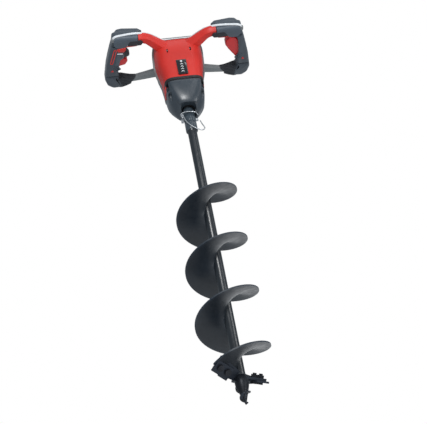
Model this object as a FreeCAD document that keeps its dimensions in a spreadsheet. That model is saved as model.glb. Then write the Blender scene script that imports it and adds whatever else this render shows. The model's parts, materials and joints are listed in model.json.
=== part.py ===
"""Cordless earth auger: a two-handed power head with a two-stage planetary gearbox and a 150 mm drill.

Frame: origin at the tip of the drill's pilot point, +Z up along the drill, X along the handles with
+X on the operator's right, -Y towards the front. Millimetres throughout.
"""
import FreeCAD, Part
import math
import os

import Sketcher
from FreeCAD import Placement, Rotation, Vector

doc = FreeCAD.newDocument("earth_auger")
sheet = doc.addObject("Spreadsheet::Sheet", "dims")
sheet.Label = "dims"
nodes = []


# ---------------------------------------------------------------- driving dimensions
SIZES = {
    # drill
    "tube_radius": 11.0, "tube_wall": 2.5, "tube_bottom": 44.0, "tube_top": 742.0,
    "flight_radius": 75.0, "flight_pitch": 138.3, "flight_thick": 3.2, "flight_bottom": 59.9,
    "flight_turns": 3.684, "flight_start": 189.0, "second_turns": 0.25, "flight_trim": 33.0,
    "socket_radius": 14.25, "socket_bottom": 732.0, "socket_top": 798.0,
    "spindle_radius": 10.0, "pin_height": 768.0, "pin_radius": 4.0, "fit_gap": 0.05,
    "pilot_pitch": 24.0,
    "blade_length": 44.0, "blade_width": 29.0, "blade_thick": 4.0,
    # gear train
    "gear_module": 1.0, "sun_teeth": 12.0, "planet_teeth": 21.0, "ring_teeth": 54.0,
    "stage2_bottom": 836.5, "stage2_height": 14.0, "stage1_bottom": 858.0, "stage1_height": 12.0,
    "planet_pin_radius": 3.0, "ring_outer": 36.0,
    # power head
    "bell_bottom": 785.0, "seam_height": 870.0, "lid_height": 1000.0, "shell_wall": 3.0,
    "split_depth": 8.0, "motor_bottom": 888.0, "motor_length": 40.0, "shaft_radius": 4.0,
    # handles
    "handle_height": 989.0, "arm_width": 27.0, "arm_depth": 28.0, "grip_width": 32.0,
    "grip_depth": 32.0, "sleeve_depth": 32.0,
    "trigger_pin_radius": 2.0, "pocket_height": 17.0,
}


def write_cell(alias, value):
    """Put one number in the sheet under an alias."""
    row = write_cell.rows + 1
    write_cell.rows = row
    sheet.set("A%d" % row, alias)
    sheet.set("B%d" % row, repr(float(value)))
    sheet.setAlias("B%d" % row, alias)


write_cell.rows = 0
for size_name, size_value in SIZES.items():
    write_cell(size_name, size_value)
doc.recompute()


def size(alias):
    """Read a driving dimension back from the sheet."""
    return float(getattr(sheet, alias))


# ---------------------------------------------------------------- building blocks
def keep(feature, label):
    """Mark a feature as one finished sub-part."""
    feature.Label = label
    nodes.append(feature)
    return feature


def bind(feature, prop, alias, value):
    """Store a size in the sheet and bind a property of the feature to it."""
    write_cell(alias, value)
    feature.setExpression(prop, "dims." + alias)


def lathe(label, outline):
    """A body turned about Z from a closed outline of (radius, height) points."""
    body = doc.addObject("PartDesign::Body", label + "_body")
    sketch = body.newObject("Sketcher::SketchObject", label + "_outline")
    plane = [f for f in body.Origin.OriginFeatures if f.Role == "XZ_Plane"][0]
    sketch.AttachmentSupport = (plane, "")
    sketch.MapMode = "FlatFace"
    count = len(outline)
    for index, (radius, height) in enumerate(outline):
        radius_next, height_next = outline[(index + 1) % count]
        sketch.addGeometry(Part.LineSegment(Vector(radius, height, 0), Vector(radius_next, height_next, 0)))
    for index in range(count):
        sketch.addConstraint(Sketcher.Constraint("Coincident", index, 2, (index + 1) % count, 1))
    sheet_bound = []
    for index, (radius, height) in enumerate(outline):
        for axis, kind, value in (("radius", "DistanceX", radius), ("height", "DistanceY", height)):
            if abs(value) < 1e-9:
                line = -2 if axis == "radius" else -1
                sketch.addConstraint(Sketcher.Constraint("PointOnObject", index, 1, line))
                continue
            number = sketch.addConstraint(Sketcher.Constraint(kind, -1, 1, index, 1, value))
            name = "%s%d" % (axis, index)
            sketch.renameConstraint(number, name)
            alias = "%s_%s_%d" % (label, axis, index)
            write_cell(alias, value)
            sheet_bound.append((name, alias))
    for name, alias in sheet_bound:
        sketch.setExpression("Constraints." + name, "dims." + alias)
    turned = body.newObject("PartDesign::Revolution", label + "_turned")
    turned.Profile = sketch
    turned.ReferenceAxis = (sketch, ["V_Axis"])
    turned.Angle = 360.0
    body.Tip = turned
    return body


def ring(label, outer, inner, bottom, top):
    """A plain turned ring or, with inner 0, a disc."""
    return lathe(label, [(inner, bottom), (outer, bottom), (outer, top), (inner, top)])


def block(label, low, high):
    """A box between two corners, its sizes bound to the sheet."""
    box = doc.addObject("Part::Box", label)
    for prop, axis in (("Length", 0), ("Width", 1), ("Height", 2)):
        bind(box, prop, "%s_%s" % (label, prop.lower()), high[axis] - low[axis])
    box.Placement = Placement(Vector(*low), Rotation())
    return box


def rod(label, radius, start, end):
    """A cylinder from one point to another, its sizes bound to the sheet."""
    start, end = Vector(*start), Vector(*end)
    cylinder = doc.addObject("Part::Cylinder", label)
    bind(cylinder, "Radius", label + "_radius", radius)
    bind(cylinder, "Height", label + "_length", (end - start).Length)
    cylinder.Placement = Placement(start, Rotation(Vector(0, 0, 1), end - start))
    return cylinder


def cut(label, base, tools):
    """The base with every tool taken away."""
    tool = tools[0] if len(tools) == 1 else join(label + "_tools", tools)
    result = doc.addObject("Part::Cut", label)
    result.Base = base
    result.Tool = tool
    return result


def join(label, pieces):
    """Pieces fused into one solid."""
    result = doc.addObject("Part::MultiFuse", label)
    result.Shapes = pieces
    return result


def group(label, pieces):
    """Separate solids of one sub-part."""
    result = doc.addObject("Part::Compound", label)
    result.Links = pieces
    return result


def shaped(label, shape):
    """A feature whose shape is made with Part's own functions."""
    result = doc.addObject("Part::Feature", label)
    result.Shape = shape
    return result


def prism(points, bottom, top):
    """An upright prism over a closed plan outline."""
    corners = [Vector(x, y, bottom) for x, y in points]
    wire = Part.makePolygon(corners + [corners[0]])
    return Part.Face(wire).extrude(Vector(0, 0, top - bottom))


def rounded_loop(low_x, high_x, low_y, high_y, radius, height):
    """A level rounded rectangle as a wire."""
    wire_edges = []
    centres = [(high_x - radius, low_y + radius, -90), (high_x - radius, high_y - radius, 0),
               (low_x + radius, high_y - radius, 90), (low_x + radius, low_y + radius, 180)]
    ends = []
    for centre_x, centre_y, start in centres:
        centre = Vector(centre_x, centre_y, height)
        circle = Part.Circle(centre, Vector(0, 0, 1), radius)
        arc = Part.Arc(circle, math.radians(start), math.radians(start + 90))
        ends.append((arc.StartPoint, arc.EndPoint))
        wire_edges.append(arc.toShape())
    lines = [Part.LineSegment(ends[i][1], ends[(i + 1) % 4][0]).toShape() for i in range(4)]
    loop = []
    for arc_edge, line_edge in zip(wire_edges, lines):
        loop += [arc_edge, line_edge]
    return Part.Wire(loop)


def rounded_path(points, radii):
    """Straight runs joined by tangent arcs; radii holds one value per inner point, 0 for a plain joint."""
    points = [Vector(*p) for p in points]
    edges = []
    start = points[0]
    for index in range(1, len(points) - 1):
        corner, radius = points[index], radii[index - 1]
        towards = (points[index - 1] - corner).normalize()
        away = (points[index + 1] - corner).normalize()
        if radius > 0:
            opening = towards.getAngle(away)
            reach = radius / math.tan(opening / 2)
            first, last = corner + towards * reach, corner + away * reach
            bisector = (towards + away).normalize()
            middle = corner + bisector * (radius / math.sin(opening / 2) - radius)
            edges.append(Part.LineSegment(start, first).toShape())
            edges.append(Part.Arc(first, middle, last).toShape())
            start = last
        else:
            edges.append(Part.LineSegment(start, corner).toShape())
            start = corner
    edges.append(Part.LineSegment(start, points[-1]).toShape())
    return edges


def section_at(edge, width, depth, corner):
    """A rounded rectangle square to the start of a level edge: width across it, depth upright."""
    origin = edge.Vertexes[0].Point if edge.Orientation == "Forward" else edge.Vertexes[-1].Point
    tangent = edge.tangentAt(edge.FirstParameter)
    wire = rounded_loop(-width / 2, width / 2, -depth / 2, depth / 2, corner, 0)
    across = Vector(0, 0, 1).cross(tangent)
    turn = Rotation(across, Vector(0, 0, 1), tangent, "ZXY")
    wire.Placement = Placement(origin, turn)
    return wire


def sweep(edges, width, depth, corner):
    """A bar of rounded-rectangle section along tangent edges."""
    spine = Part.Wire(edges)
    profile = section_at(edges[0], width, depth, corner)
    return spine.makePipeShell([profile], True, False)


def wire_form(points, radius):
    """A bent round wire: each corner's arc is as large as its two runs allow."""
    vectors = [Vector(*p) for p in points]
    radii = []
    for before, corner, after in zip(vectors, vectors[1:], vectors[2:]):
        shorter = min((before - corner).Length, (after - corner).Length)
        turn = math.pi - (before - corner).getAngle(after - corner)
        radii.append(0.45 * shorter / math.tan(turn / 2))
    edges = rounded_path(points, radii)
    spine = Part.Wire(edges)
    start = vectors[0]
    circle = Part.Wire(Part.Circle(start, vectors[1] - vectors[0], radius).toShape())
    return spine.makePipeShell([circle], True, False)


# ---------------------------------------------------------------- gears
PRESSURE_ANGLE = math.radians(25)
BACKLASH = 0.24
SHORT_ADDENDUM = 0.8
DEDENDUM = 1.05


def involute(angle):
    """The involute function."""
    return math.tan(angle) - angle


def tooth_outline(teeth, tip, root, thickening):
    """Plan outline of an involute gear, its first tooth centred on +X."""
    module = size("gear_module")
    pitch_radius = teeth * module / 2
    base_radius = pitch_radius * math.cos(PRESSURE_ANGLE)
    half_at_pitch = math.pi / (2 * teeth) + thickening / (2 * pitch_radius)

    def half_angle(radius):
        flank = math.acos(min(1.0, base_radius / radius))
        return half_at_pitch + involute(PRESSURE_ANGLE) - involute(flank)

    low = max(root, base_radius)
    flank_steps = 6
    radii = [low + (tip - low) * step / flank_steps for step in range(flank_steps + 1)]
    outline = []
    for tooth in range(int(teeth)):
        centre = 2 * math.pi * tooth / teeth
        side = [(root, half_angle(low))] if root < low - 1e-6 else []
        side += [(radius, half_angle(radius)) for radius in radii]
        for radius, offset in side:
            outline.append((radius * math.cos(centre - offset), radius * math.sin(centre - offset)))
        for radius, offset in reversed(side):
            outline.append((radius * math.cos(centre + offset), radius * math.sin(centre + offset)))
    return outline


def gear(teeth, bottom, height, bore):
    """A spur gear with a round bore, its first tooth on +X."""
    module = size("gear_module")
    pitch_radius = teeth * module / 2
    outline = tooth_outline(teeth, pitch_radius + SHORT_ADDENDUM * module,
                            pitch_radius - DEDENDUM * module, -BACKLASH / 2)
    blank = prism(outline, bottom, bottom + height)
    if bore > 0:
        blank = blank.cut(Part.makeCylinder(bore, height, Vector(0, 0, bottom)))
    return blank


def place(shape, x, y, angle):
    """A copy of a shape turned about Z and moved in plan."""
    copy = shape.copy()
    copy.Placement = Placement(Vector(x, y, 0), Rotation(Vector(0, 0, 1), math.degrees(angle)))
    return copy


PLANETS = 3
sun_teeth, planet_teeth, ring_teeth = size("sun_teeth"), size("planet_teeth"), size("ring_teeth")
carrier_radius = size("gear_module") * (sun_teeth + planet_teeth) / 2
planet_angles = [2 * math.pi * k / PLANETS for k in range(PLANETS)]
pin_radius = size("planet_pin_radius")
fit_gap = size("fit_gap")
stage_levels = {"first": (size("stage1_bottom"), size("stage1_height")),
                "second": (size("stage2_bottom"), size("stage2_height"))}
for stage, (stage_bottom, stage_height) in stage_levels.items():
    for number, angle in enumerate(planet_angles, 1):
        facing = angle + math.pi + math.pi / planet_teeth + angle * sun_teeth / planet_teeth
        wheel = gear(planet_teeth, stage_bottom, stage_height, pin_radius + fit_gap)
        x, y = carrier_radius * math.cos(angle), carrier_radius * math.sin(angle)
        planet_shape = place(wheel, x, y, facing)
        keep(shaped("%s_planet_%d_shape" % (stage, number), planet_shape), "%s_planet_%d" % (stage, number))

ring_bottom = size("stage2_bottom") - 2.5
ring_top = size("stage1_bottom") + size("stage1_height") + 1.5
ring_pitch = ring_teeth * size("gear_module") / 2
void_outline = tooth_outline(ring_teeth, ring_pitch + DEDENDUM, ring_pitch - SHORT_ADDENDUM, BACKLASH / 2)
ring_blank = Part.makeCylinder(size("ring_outer"), ring_top - ring_bottom, Vector(0, 0, ring_bottom))
ring_shape = ring_blank.cut(prism(void_outline, ring_bottom - 1, ring_top + 1))
keep(shaped("ring_gear_shape", ring_shape), "ring_gear")


# ---------------------------------------------------------------- carriers and spindle
CARRIER_PLATE = 24.0
stage2_bottom, stage2_height = stage_levels["second"]
stage1_bottom, stage1_height = stage_levels["first"]
spindle_radius = size("spindle_radius")
spindle_bottom = size("socket_bottom") + 12
plate2_top = stage2_bottom - 1.0
plate2_bottom = plate2_top - 4.0
plate1_top = stage1_bottom - 1.0
plate1_bottom = plate1_top - 4.0


def carrier_pins(label, bottom, top):
    """The three pins a stage's planets turn on."""
    pins = []
    for number, angle in enumerate(planet_angles, 1):
        x, y = carrier_radius * math.cos(angle), carrier_radius * math.sin(angle)
        pins.append(rod("%s_%d" % (label, number), pin_radius, (x, y, bottom), (x, y, top)))
    return pins


second_pins = carrier_pins("second_pin", plate2_bottom, stage2_bottom + stage2_height + 0.3)
first_pins = carrier_pins("first_pin", plate1_bottom, stage1_bottom + stage1_height + 0.5)
spindle_blank = lathe("output_spindle", [
    (0, spindle_bottom), (spindle_radius - 1, spindle_bottom), (spindle_radius, spindle_bottom + 1),
    (spindle_radius, plate2_bottom), (CARRIER_PLATE, plate2_bottom), (CARRIER_PLATE, plate2_top),
    (0, plate2_top)])
pin_height = size("pin_height")
lock_pin_radius = size("pin_radius")
cross_hole = rod("spindle_cross_hole", lock_pin_radius + fit_gap, (-20, 0, pin_height), (20, 0, pin_height))
pin_seats = group("spindle_pin_seats", carrier_pins("spindle_pin_seat", plate2_bottom, plate2_top))
keep(cut("spindle_drilled", spindle_blank, [cross_hole, pin_seats]), "output_spindle")
keep(group("second_pins", second_pins), "second_carrier_pins")

sun2 = shaped("second_sun", gear(sun_teeth, stage2_bottom + 0.2, stage2_height, 0))
sun2_neck = ring("second_sun_neck", 4.5, 0, stage2_bottom + stage2_height, plate1_bottom + 0.5)
plate1 = ring("first_plate", CARRIER_PLATE, 0, plate1_bottom, plate1_top)
carrier1 = join("first_carrier_blank", [sun2, sun2_neck, plate1])
first_seats = group("first_pin_seats", carrier_pins("first_pin_seat", plate1_bottom, plate1_top))
keep(cut("first_carrier_drilled", carrier1, [first_seats]), "first_carrier")
keep(group("first_pins", first_pins), "first_carrier_pins")


# ---------------------------------------------------------------- gearbox bell, seal and bearings
BEARING_OUTER = 21.0
SEAL_OUTER = 17.0
BEARING_LOW = 809.0
BEARING_HIGH = 821.0
seam = size("seam_height")
bell_bottom = size("bell_bottom")
bell_outline = [
    (19.0, bell_bottom), (24.5, bell_bottom), (29.0, bell_bottom + 4), (37.0, bell_bottom + 15),
    (42.0, bell_bottom + 31), (44.4, bell_bottom + 56), (45.0, seam - 10), (45.0, seam),
    (size("ring_outer"), seam), (size("ring_outer"), ring_bottom), (26.0, ring_bottom),
    (26.0, BEARING_HIGH + 6), (BEARING_OUTER, BEARING_HIGH + 6), (BEARING_OUTER, BEARING_LOW),
    (SEAL_OUTER, BEARING_LOW), (SEAL_OUTER, BEARING_LOW - 6), (19.0, BEARING_LOW - 6)]
bell_blank = lathe("gearbox_bell", bell_outline)
notch = block("bell_notch_box", (-21, -60, bell_bottom - 5), (21, 0, bell_bottom + 10))
notch_arch = rod("bell_notch_arch", 21.0, (0, -60, bell_bottom - 4), (0, -12, bell_bottom - 4))
keep(cut("bell_notched", bell_blank, [notch, notch_arch]), "gearbox_bell")
keep(ring("vent_ring", 48.6, 45.0, seam - 9.0, seam), "vent_ring")

running_bore = spindle_radius + fit_gap
keep(ring("spindle_bearing", BEARING_OUTER, running_bore, BEARING_LOW, BEARING_HIGH), "spindle_bearing")
keep(ring("oil_seal", SEAL_OUTER, running_bore, BEARING_LOW - 6, BEARING_LOW), "oil_seal")


# ---------------------------------------------------------------- motor
motor_bottom = size("motor_bottom")
motor_top = motor_bottom + size("motor_length")
shaft_radius = size("shaft_radius")
sun1 = shaped("first_sun", gear(sun_teeth, stage1_bottom + 0.2, stage1_height, 0))
shaft = ring("rotor_shaft_bar", shaft_radius, 0, stage1_bottom + stage1_height, motor_top + 30)
keep(join("rotor_shaft_joined", [sun1, shaft]), "rotor_shaft")
keep(ring("rotor_core", 16.0, shaft_radius, motor_bottom, motor_top), "rotor_core")

MAGNETS = 4
magnet_ring = Part.makeCylinder(18.5, motor_top - motor_bottom - 2, Vector(0, 0, motor_bottom + 1))
magnet_ring = magnet_ring.cut(Part.makeCylinder(16.0, 100, Vector(0, 0, motor_bottom - 10)))
for number in range(MAGNETS):
    gap = Part.makeBox(40, 3, 100, Vector(0, -1.5, motor_bottom - 10))
    gap.rotate(Vector(0, 0, 0), Vector(0, 0, 1), 360.0 * number / MAGNETS)
    magnet_ring = magnet_ring.cut(gap)
keep(shaped("rotor_magnets_shape", magnet_ring), "rotor_magnets")

SLOTS = 6
stator = Part.makeCylinder(38.0, motor_top - motor_bottom, Vector(0, 0, motor_bottom))
stator = stator.cut(Part.makeCylinder(19.2, 100, Vector(0, 0, motor_bottom - 10)))
windings = []
for number in range(SLOTS):
    turn = 360.0 * number / SLOTS
    slot = Part.makeBox(12, 10, 100, Vector(21, -5, motor_bottom - 10))
    slot.rotate(Vector(0, 0, 0), Vector(0, 0, 1), turn)
    stator = stator.cut(slot)
    coil = Part.makeBox(10, 8, motor_top - motor_bottom + 10, Vector(22, -4, motor_bottom - 5))
    coil.rotate(Vector(0, 0, 0), Vector(0, 0, 1), turn)
    windings.append(coil)
keep(shaped("stator_core_shape", stator), "stator_core")
keep(shaped("stator_windings_shape", Part.makeCompound(windings)), "stator_windings")

MOTOR_BEARING = 11.0
SCREW_RADIUS = 2.4
plate_low = seam + 2
plate = lathe("motor_plate", [(shaft_radius + 2, plate_low), (43.0, plate_low), (43.0, plate_low + 5),
                              (15.0, plate_low + 5), (15.0, plate_low + 10), (MOTOR_BEARING, plate_low + 10),
                              (MOTOR_BEARING, plate_low + 3), (shaft_radius + 2, plate_low + 3)])
plate_taps = [rod("plate_tap_%d" % number, SCREW_RADIUS, (x, 26, plate_low + 2.5), (x, 50, plate_low + 2.5))
              for number, x in enumerate((-20.0, 20.0), 1)]
keep(cut("motor_plate_tapped", plate, plate_taps), "motor_plate")
shaft_bore = shaft_radius + fit_gap
bearing_front = ring("motor_bearing_low", MOTOR_BEARING, shaft_bore, plate_low + 3, plate_low + 10)
bridge_low = motor_top + 20
bearing_rear = ring("motor_bearing_high", MOTOR_BEARING, shaft_bore, bridge_low, bridge_low + 7)
keep(group("motor_bearings", [bearing_front, bearing_rear]), "motor_bearings")
bridge = lathe("bearing_bridge", [
    (MOTOR_BEARING, bridge_low), (42.0, bridge_low), (42.0, bridge_low + 4), (15.0, bridge_low + 4),
    (15.0, bridge_low + 7), (MOTOR_BEARING, bridge_low + 7)])
keep(bridge, "bearing_bridge")

FAN_BLADES = 9
FAN_RADIUS, FAN_DISC, FAN_HUB, FAN_HEIGHT = 30.0, 1.6, 9.0, 9.0
fan_low = motor_top + 8
fan = Part.makeCylinder(FAN_RADIUS, FAN_DISC, Vector(0, 0, fan_low))
fan = fan.fuse(Part.makeCylinder(FAN_HUB, FAN_HEIGHT, Vector(0, 0, fan_low)))
for number in range(FAN_BLADES):
    vane = Part.makeBox(22, 1.5, FAN_HEIGHT, Vector(7.5, -0.75, fan_low))
    vane.rotate(Vector(7.5, 0, 0), Vector(0, 0, 1), 25)
    vane.rotate(Vector(0, 0, 0), Vector(0, 0, 1), 360.0 * number / FAN_BLADES)
    fan = fan.fuse(vane)
fan = fan.cut(Part.makeCylinder(shaft_radius, 40, Vector(0, 0, fan_low - 5)))
keep(shaped("cooling_fan_shape", fan.removeSplitter()), "cooling_fan")
keep(block("control_board", (-22, -24, bridge_low + 12), (22, 34, bridge_low + 22)), "control_board")


# ---------------------------------------------------------------- housings and handles
lid = size("lid_height")
wall = size("shell_wall")
SHELL_SECTIONS = [
    # height, half width, front, back, corner radius
    (seam, 46.5, -48.0, 46.5, 38.0),
    (seam + 35, 51.0, -50.0, 52.0, 30.0),
    (lid - 45, 59.0, -51.0, 60.0, 24.0),
    (lid - 15, 60.0, -50.0, 62.0, 22.0),
    (lid, 58.0, -46.0, 60.0, 20.0)]


def shell_body(inset, drop):
    """The power head's outer or inner form."""
    loops = []
    for height, half, front, back, corner in SHELL_SECTIONS:
        loops.append(rounded_loop(-half + inset, half - inset, front + inset, back - inset,
                                  corner - inset * 0.6, height - drop * (height == lid)))
    return Part.makeLoft(loops, True, True)


handle_height = size("handle_height")
HANDLE_PLAN = [(44, -40), (78, -71.1), (96, -72), (156, -75), (166.9, 40)]
HANDLE_RADII = [25, 0, 20]


def handle_edges(side):
    """The loop's centre line on one side, side being 1 for right and -1 for left."""
    points = [(side * x, y, handle_height) for x, y in HANDLE_PLAN]
    return rounded_path(points, HANDLE_RADII)


arm_width, arm_depth = size("arm_width"), size("arm_depth")
grip_width, grip_depth = size("grip_width"), size("grip_depth")
sleeve_depth = size("sleeve_depth")
pocket_height = size("pocket_height")
POCKET = {"inner": 138.0, "outer": 169.0, "front": -54.0, "back": 27.0}
PIVOT_X, PIVOT_Y = 154.0, 17.0
trigger_pin_radius = size("trigger_pin_radius")
SLEEVE_PLAN = [(151.5, 40), (146, 31), (107, 50), (107, 67.5), (141, 83), (166, 87), (179, 74), (183, 40)]
STRUT_ENDS = ((107.0, 58.8, 13.0, 15.0), (52.0, 52.0, 22.0, 28.0))


def strut_form(side):
    """The tapered rear strut from the sleeve's tip to the housing."""
    loops = []
    for x, y, width, depth in STRUT_ENDS:
        loop = rounded_loop(-width / 2, width / 2, -depth / 2, depth / 2, 4, 0)
        turn = Rotation(Vector(0, 1, 0), Vector(0, 0, 1), Vector(1, 0, 0), "ZXY")
        loop.Placement = Placement(Vector(side * x, y, handle_height), turn)
        loops.append(loop)
    return Part.makeLoft(loops, True, True)


DOCK_HALF, DOCK_FRONT, DOCK_BACK = 42.0, -44.0, 56.0
outer_form = shell_body(0, 0)
inner_form = shell_body(wall, wall)
bottom_plug = Part.makeCylinder(45.0, 20, Vector(0, 0, seam - 15))
split = size("split_depth")
front_half = Part.makeBox(400, 200, 300, Vector(-200, split - 200, seam - 50))
front_arms, rear_struts = [], []
sides = (("left", -1), ("right", 1))
for side_name, side in sides:
    edges = handle_edges(side)
    front_arms.append(sweep(edges[0:3], arm_width, arm_depth, 8))
    arm_shape = sweep(edges[3:5], arm_width + 1, arm_depth + 1, 9)
    arm_shape = arm_shape.cut(sweep(edges[3:4], arm_width - 2 * wall, arm_depth - 2 * wall, 5))
    keep(shaped(side_name + "_arm_shape", arm_shape), side_name + "_front_arm")
    grip_shape = sweep(edges[5:6], grip_width, grip_depth, 13)
    pocket_low = (min(side * POCKET["inner"], side * POCKET["outer"]), POCKET["front"],
                  handle_height - pocket_height / 2)
    pocket = Part.makeBox(POCKET["outer"] - POCKET["inner"], POCKET["back"] - POCKET["front"], pocket_height,
                          Vector(*pocket_low))
    pin_hole = Part.makeCylinder(trigger_pin_radius, 60, Vector(side * PIVOT_X, PIVOT_Y, handle_height - 30))
    beyond = Part.makeBox(400, 60, 100, Vector(-200, SLEEVE_PLAN[0][1], handle_height - 50))
    grip_shape = grip_shape.cut(pocket).cut(pin_hole).cut(beyond)
    keep(shaped(side_name + "_grip_shape", grip_shape), side_name + "_grip")
    sleeve_shape = prism([(side * x, y) for x, y in SLEEVE_PLAN], handle_height - sleeve_depth / 2,
                         handle_height + sleeve_depth / 2)
    rims = [edge for edge in sleeve_shape.Edges if abs(edge.CenterOfMass.y - SLEEVE_PLAN[0][1]) > 1]
    sleeve_shape = sleeve_shape.makeFillet(6.0, rims).cut(grip_shape)
    keep(shaped(side_name + "_sleeve_shape", sleeve_shape), side_name + "_corner_sleeve")
    rear_struts.append(strut_form(side))

front_shape = outer_form.common(front_half)
for arm in front_arms:
    front_shape = front_shape.fuse(arm)
front_shape = front_shape.cut(inner_form).cut(bottom_plug).removeSplitter()
rear_shape = outer_form.cut(front_half)
for strut in rear_struts:
    rear_shape = rear_shape.fuse(strut)
rear_shape = rear_shape.cut(inner_form).cut(bottom_plug).removeSplitter()

SWITCH = {"x": 7.0, "z": 4.0, "height": 935.0, "travel": 4.0}
slot_half_x = SWITCH["x"] + SWITCH["travel"] + 0.5
slot_half_z = SWITCH["z"] + 0.4
switch_slot = Part.makeBox(2 * slot_half_x, 30, 2 * slot_half_z,
                           Vector(-slot_half_x, 45, SWITCH["height"] - slot_half_z))
rear_shape = rear_shape.cut(switch_slot)
SCREW_HEAD, SCREW_DEEP = 4.2, 1.8
# x, height, seat depth and tip depth of each housing screw: two from the front, two from the rear
SCREWS = [(-28.4, 960.0, -49.6, -2.0), (28.4, 960.0, -49.6, -2.0),
          (-20.0, plate_low + 2.5, 43.4, 26.0), (20.0, plate_low + 2.5, 43.4, 26.0)]
for x, height, seat, tip in SCREWS:
    outward = Vector(0, math.copysign(1, seat - tip), 0)
    bore = Part.makeCylinder(SCREW_RADIUS + 0.1, 60, Vector(x, tip, height), outward)
    head_seat = Part.makeCylinder(SCREW_HEAD + 0.2, 20, Vector(x, seat, height), outward)
    front_shape = front_shape.cut(bore).cut(head_seat) if seat < 0 else front_shape
    rear_shape = rear_shape.cut(bore).cut(head_seat) if seat > 0 else rear_shape
BOSS_RADIUS = 5.5
for x, height, seat, tip in SCREWS[:2]:
    boss = Part.makeCylinder(BOSS_RADIUS, 80, Vector(x, split, height), Vector(0, 1, 0)).common(outer_form)
    boss = boss.cut(Part.makeCylinder(SCREW_RADIUS, 30, Vector(x, split, height), Vector(0, 1, 0)))
    rear_shape = rear_shape.fuse(boss)
rear_shape = rear_shape.removeSplitter()
dock_space = Part.makeBox(2 * DOCK_HALF, DOCK_BACK - DOCK_FRONT, 60, Vector(-DOCK_HALF, DOCK_FRONT, lid))
front_shape = front_shape.cut(dock_space)
keep(shaped("front_housing_shape", front_shape), "front_housing")
keep(shaped("rear_housing_shape", rear_shape), "rear_housing")


# ---------------------------------------------------------------- fasteners, trims, badge and dock
FRONT_FACE = -50.0


def screw(label, x, height, seat, tip):
    """A pan-head screw along Y, its head on its seat in the housing."""
    outer = seat + math.copysign(SCREW_DEEP, seat - tip)
    shank = rod(label + "_shank", SCREW_RADIUS, (x, seat, height), (x, tip, height))
    head = rod(label + "_head", SCREW_HEAD, (x, seat, height), (x, outer, height))
    return join(label, [shank, head])


screws = [screw("screw_%d" % number, *place_and_depth) for number, place_and_depth in enumerate(SCREWS, 1)]
keep(group("screws", screws), "housing_screws")


def side_run(side, points):
    """Plan points mirrored to one side."""
    return [(side * x, y) for x, y in points]


TRIM_LOW, TRIM_HIGH = handle_height + 7.0, handle_height + 10.0
trims = []
for side_name, side in sides:
    rib = prism(side_run(side, [(100, -88), (152, -90.6), (152, -87.5), (100, -85)]), TRIM_LOW, TRIM_HIGH)
    arm_solid = [node for node in nodes if node.Label == side_name + "_front_arm"][0].Shape
    trims.append(rib.cut(arm_solid))
keep(shaped("silver_trims_shape", Part.makeCompound(trims)), "silver_trims")

BADGE_HALF, BADGE_LOW, BADGE_HIGH = 12.0, 873.0, 921.0
badge_corner = Vector(-BADGE_HALF, FRONT_FACE - 1.6, BADGE_LOW)
badge = Part.makeBox(2 * BADGE_HALF, 6, BADGE_HIGH - BADGE_LOW, badge_corner)
keep(shaped("name_badge_shape", badge.cut(outer_form)), "name_badge")

RAIL_INNER, LIP_INNER = 34.0, 29.0
STOP_FRONT, STOP_BACK = -14.0, -6.0
deck_top, lip_bottom, rail_top = lid + 6, lid + 15, lid + 20
deck = block("dock_deck", (-DOCK_HALF, DOCK_FRONT, lid), (DOCK_HALF, DOCK_BACK, deck_top))
stop = block("dock_stop", (-DOCK_HALF, STOP_FRONT, deck_top), (DOCK_HALF, STOP_BACK, rail_top))
dock_pieces = [deck, stop]
for side_name, side in sides:
    low, high = sorted((side * RAIL_INNER, side * DOCK_HALF))
    dock_pieces.append(block(side_name + "_rail", (low, STOP_FRONT, deck_top), (high, DOCK_BACK, rail_top)))
    low, high = sorted((side * LIP_INNER, side * RAIL_INNER))
    dock_pieces.append(block(side_name + "_lip", (low, STOP_FRONT, lip_bottom), (high, DOCK_BACK, rail_top)))
keep(join("battery_dock_joined", dock_pieces), "battery_dock")
CONTACT_FRONT, CONTACT_BACK = STOP_BACK + 12, STOP_BACK + 26
keep(block("terminal_block", (-18, STOP_BACK, lid + 10), (18, CONTACT_FRONT, lid + 19)), "terminal_block")
CONTACT_X = (-13.0, -5.0, 5.0, 13.0)
contact_low, contact_high = lid + 11, lid + 17
contacts = [block("contact_%d" % number, (x - 0.5, CONTACT_FRONT, contact_low),
                  (x + 0.5, CONTACT_BACK, contact_high)) for number, x in enumerate(CONTACT_X, 1)]
keep(group("contacts", contacts), "contact_blades")


# ---------------------------------------------------------------- triggers, lock-off button and switches
LEVER_GAP = 0.5
lever_low = handle_height - pocket_height / 2 + LEVER_GAP
lever_high = handle_height + pocket_height / 2 - LEVER_GAP
SPRING_SLOT = (handle_height - 3.0, handle_height + 3.0)
COIL_RADIUS, COIL_WIRE, COIL_TURNS = 3.4, 0.7, 3
TRIGGER_PLAN = [(158, 22), (150, 22), (144, 11), (131, 5), (124, -2), (130, -8), (158, -10)]
PADDLE_PLAN = [(158, 22), (150, 22), (144, 9), (135, -2), (121, -27), (132, -45), (149, -50), (158, -50)]


def lever(side, plan):
    """A finger lever on an upright pin, slotted for its torsion spring."""
    blank = prism(side_run(side, plan), lever_low, lever_high)
    axis_foot = Vector(side * PIVOT_X, PIVOT_Y, lever_low - 1)
    blank = blank.cut(Part.makeCylinder(trigger_pin_radius + fit_gap, 40, axis_foot))
    slot_foot = Vector(side * PIVOT_X, PIVOT_Y, SPRING_SLOT[0])
    blank = blank.cut(Part.makeCylinder(COIL_RADIUS + 2, SPRING_SLOT[1] - SPRING_SLOT[0], slot_foot))
    upright = [edge for edge in blank.Edges if edge.BoundBox.ZLength > pocket_height - 2
               and edge.BoundBox.DiagonalLength < pocket_height and abs(edge.CenterOfMass.x) < 148]
    return blank.makeFillet(2.5, upright)


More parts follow.
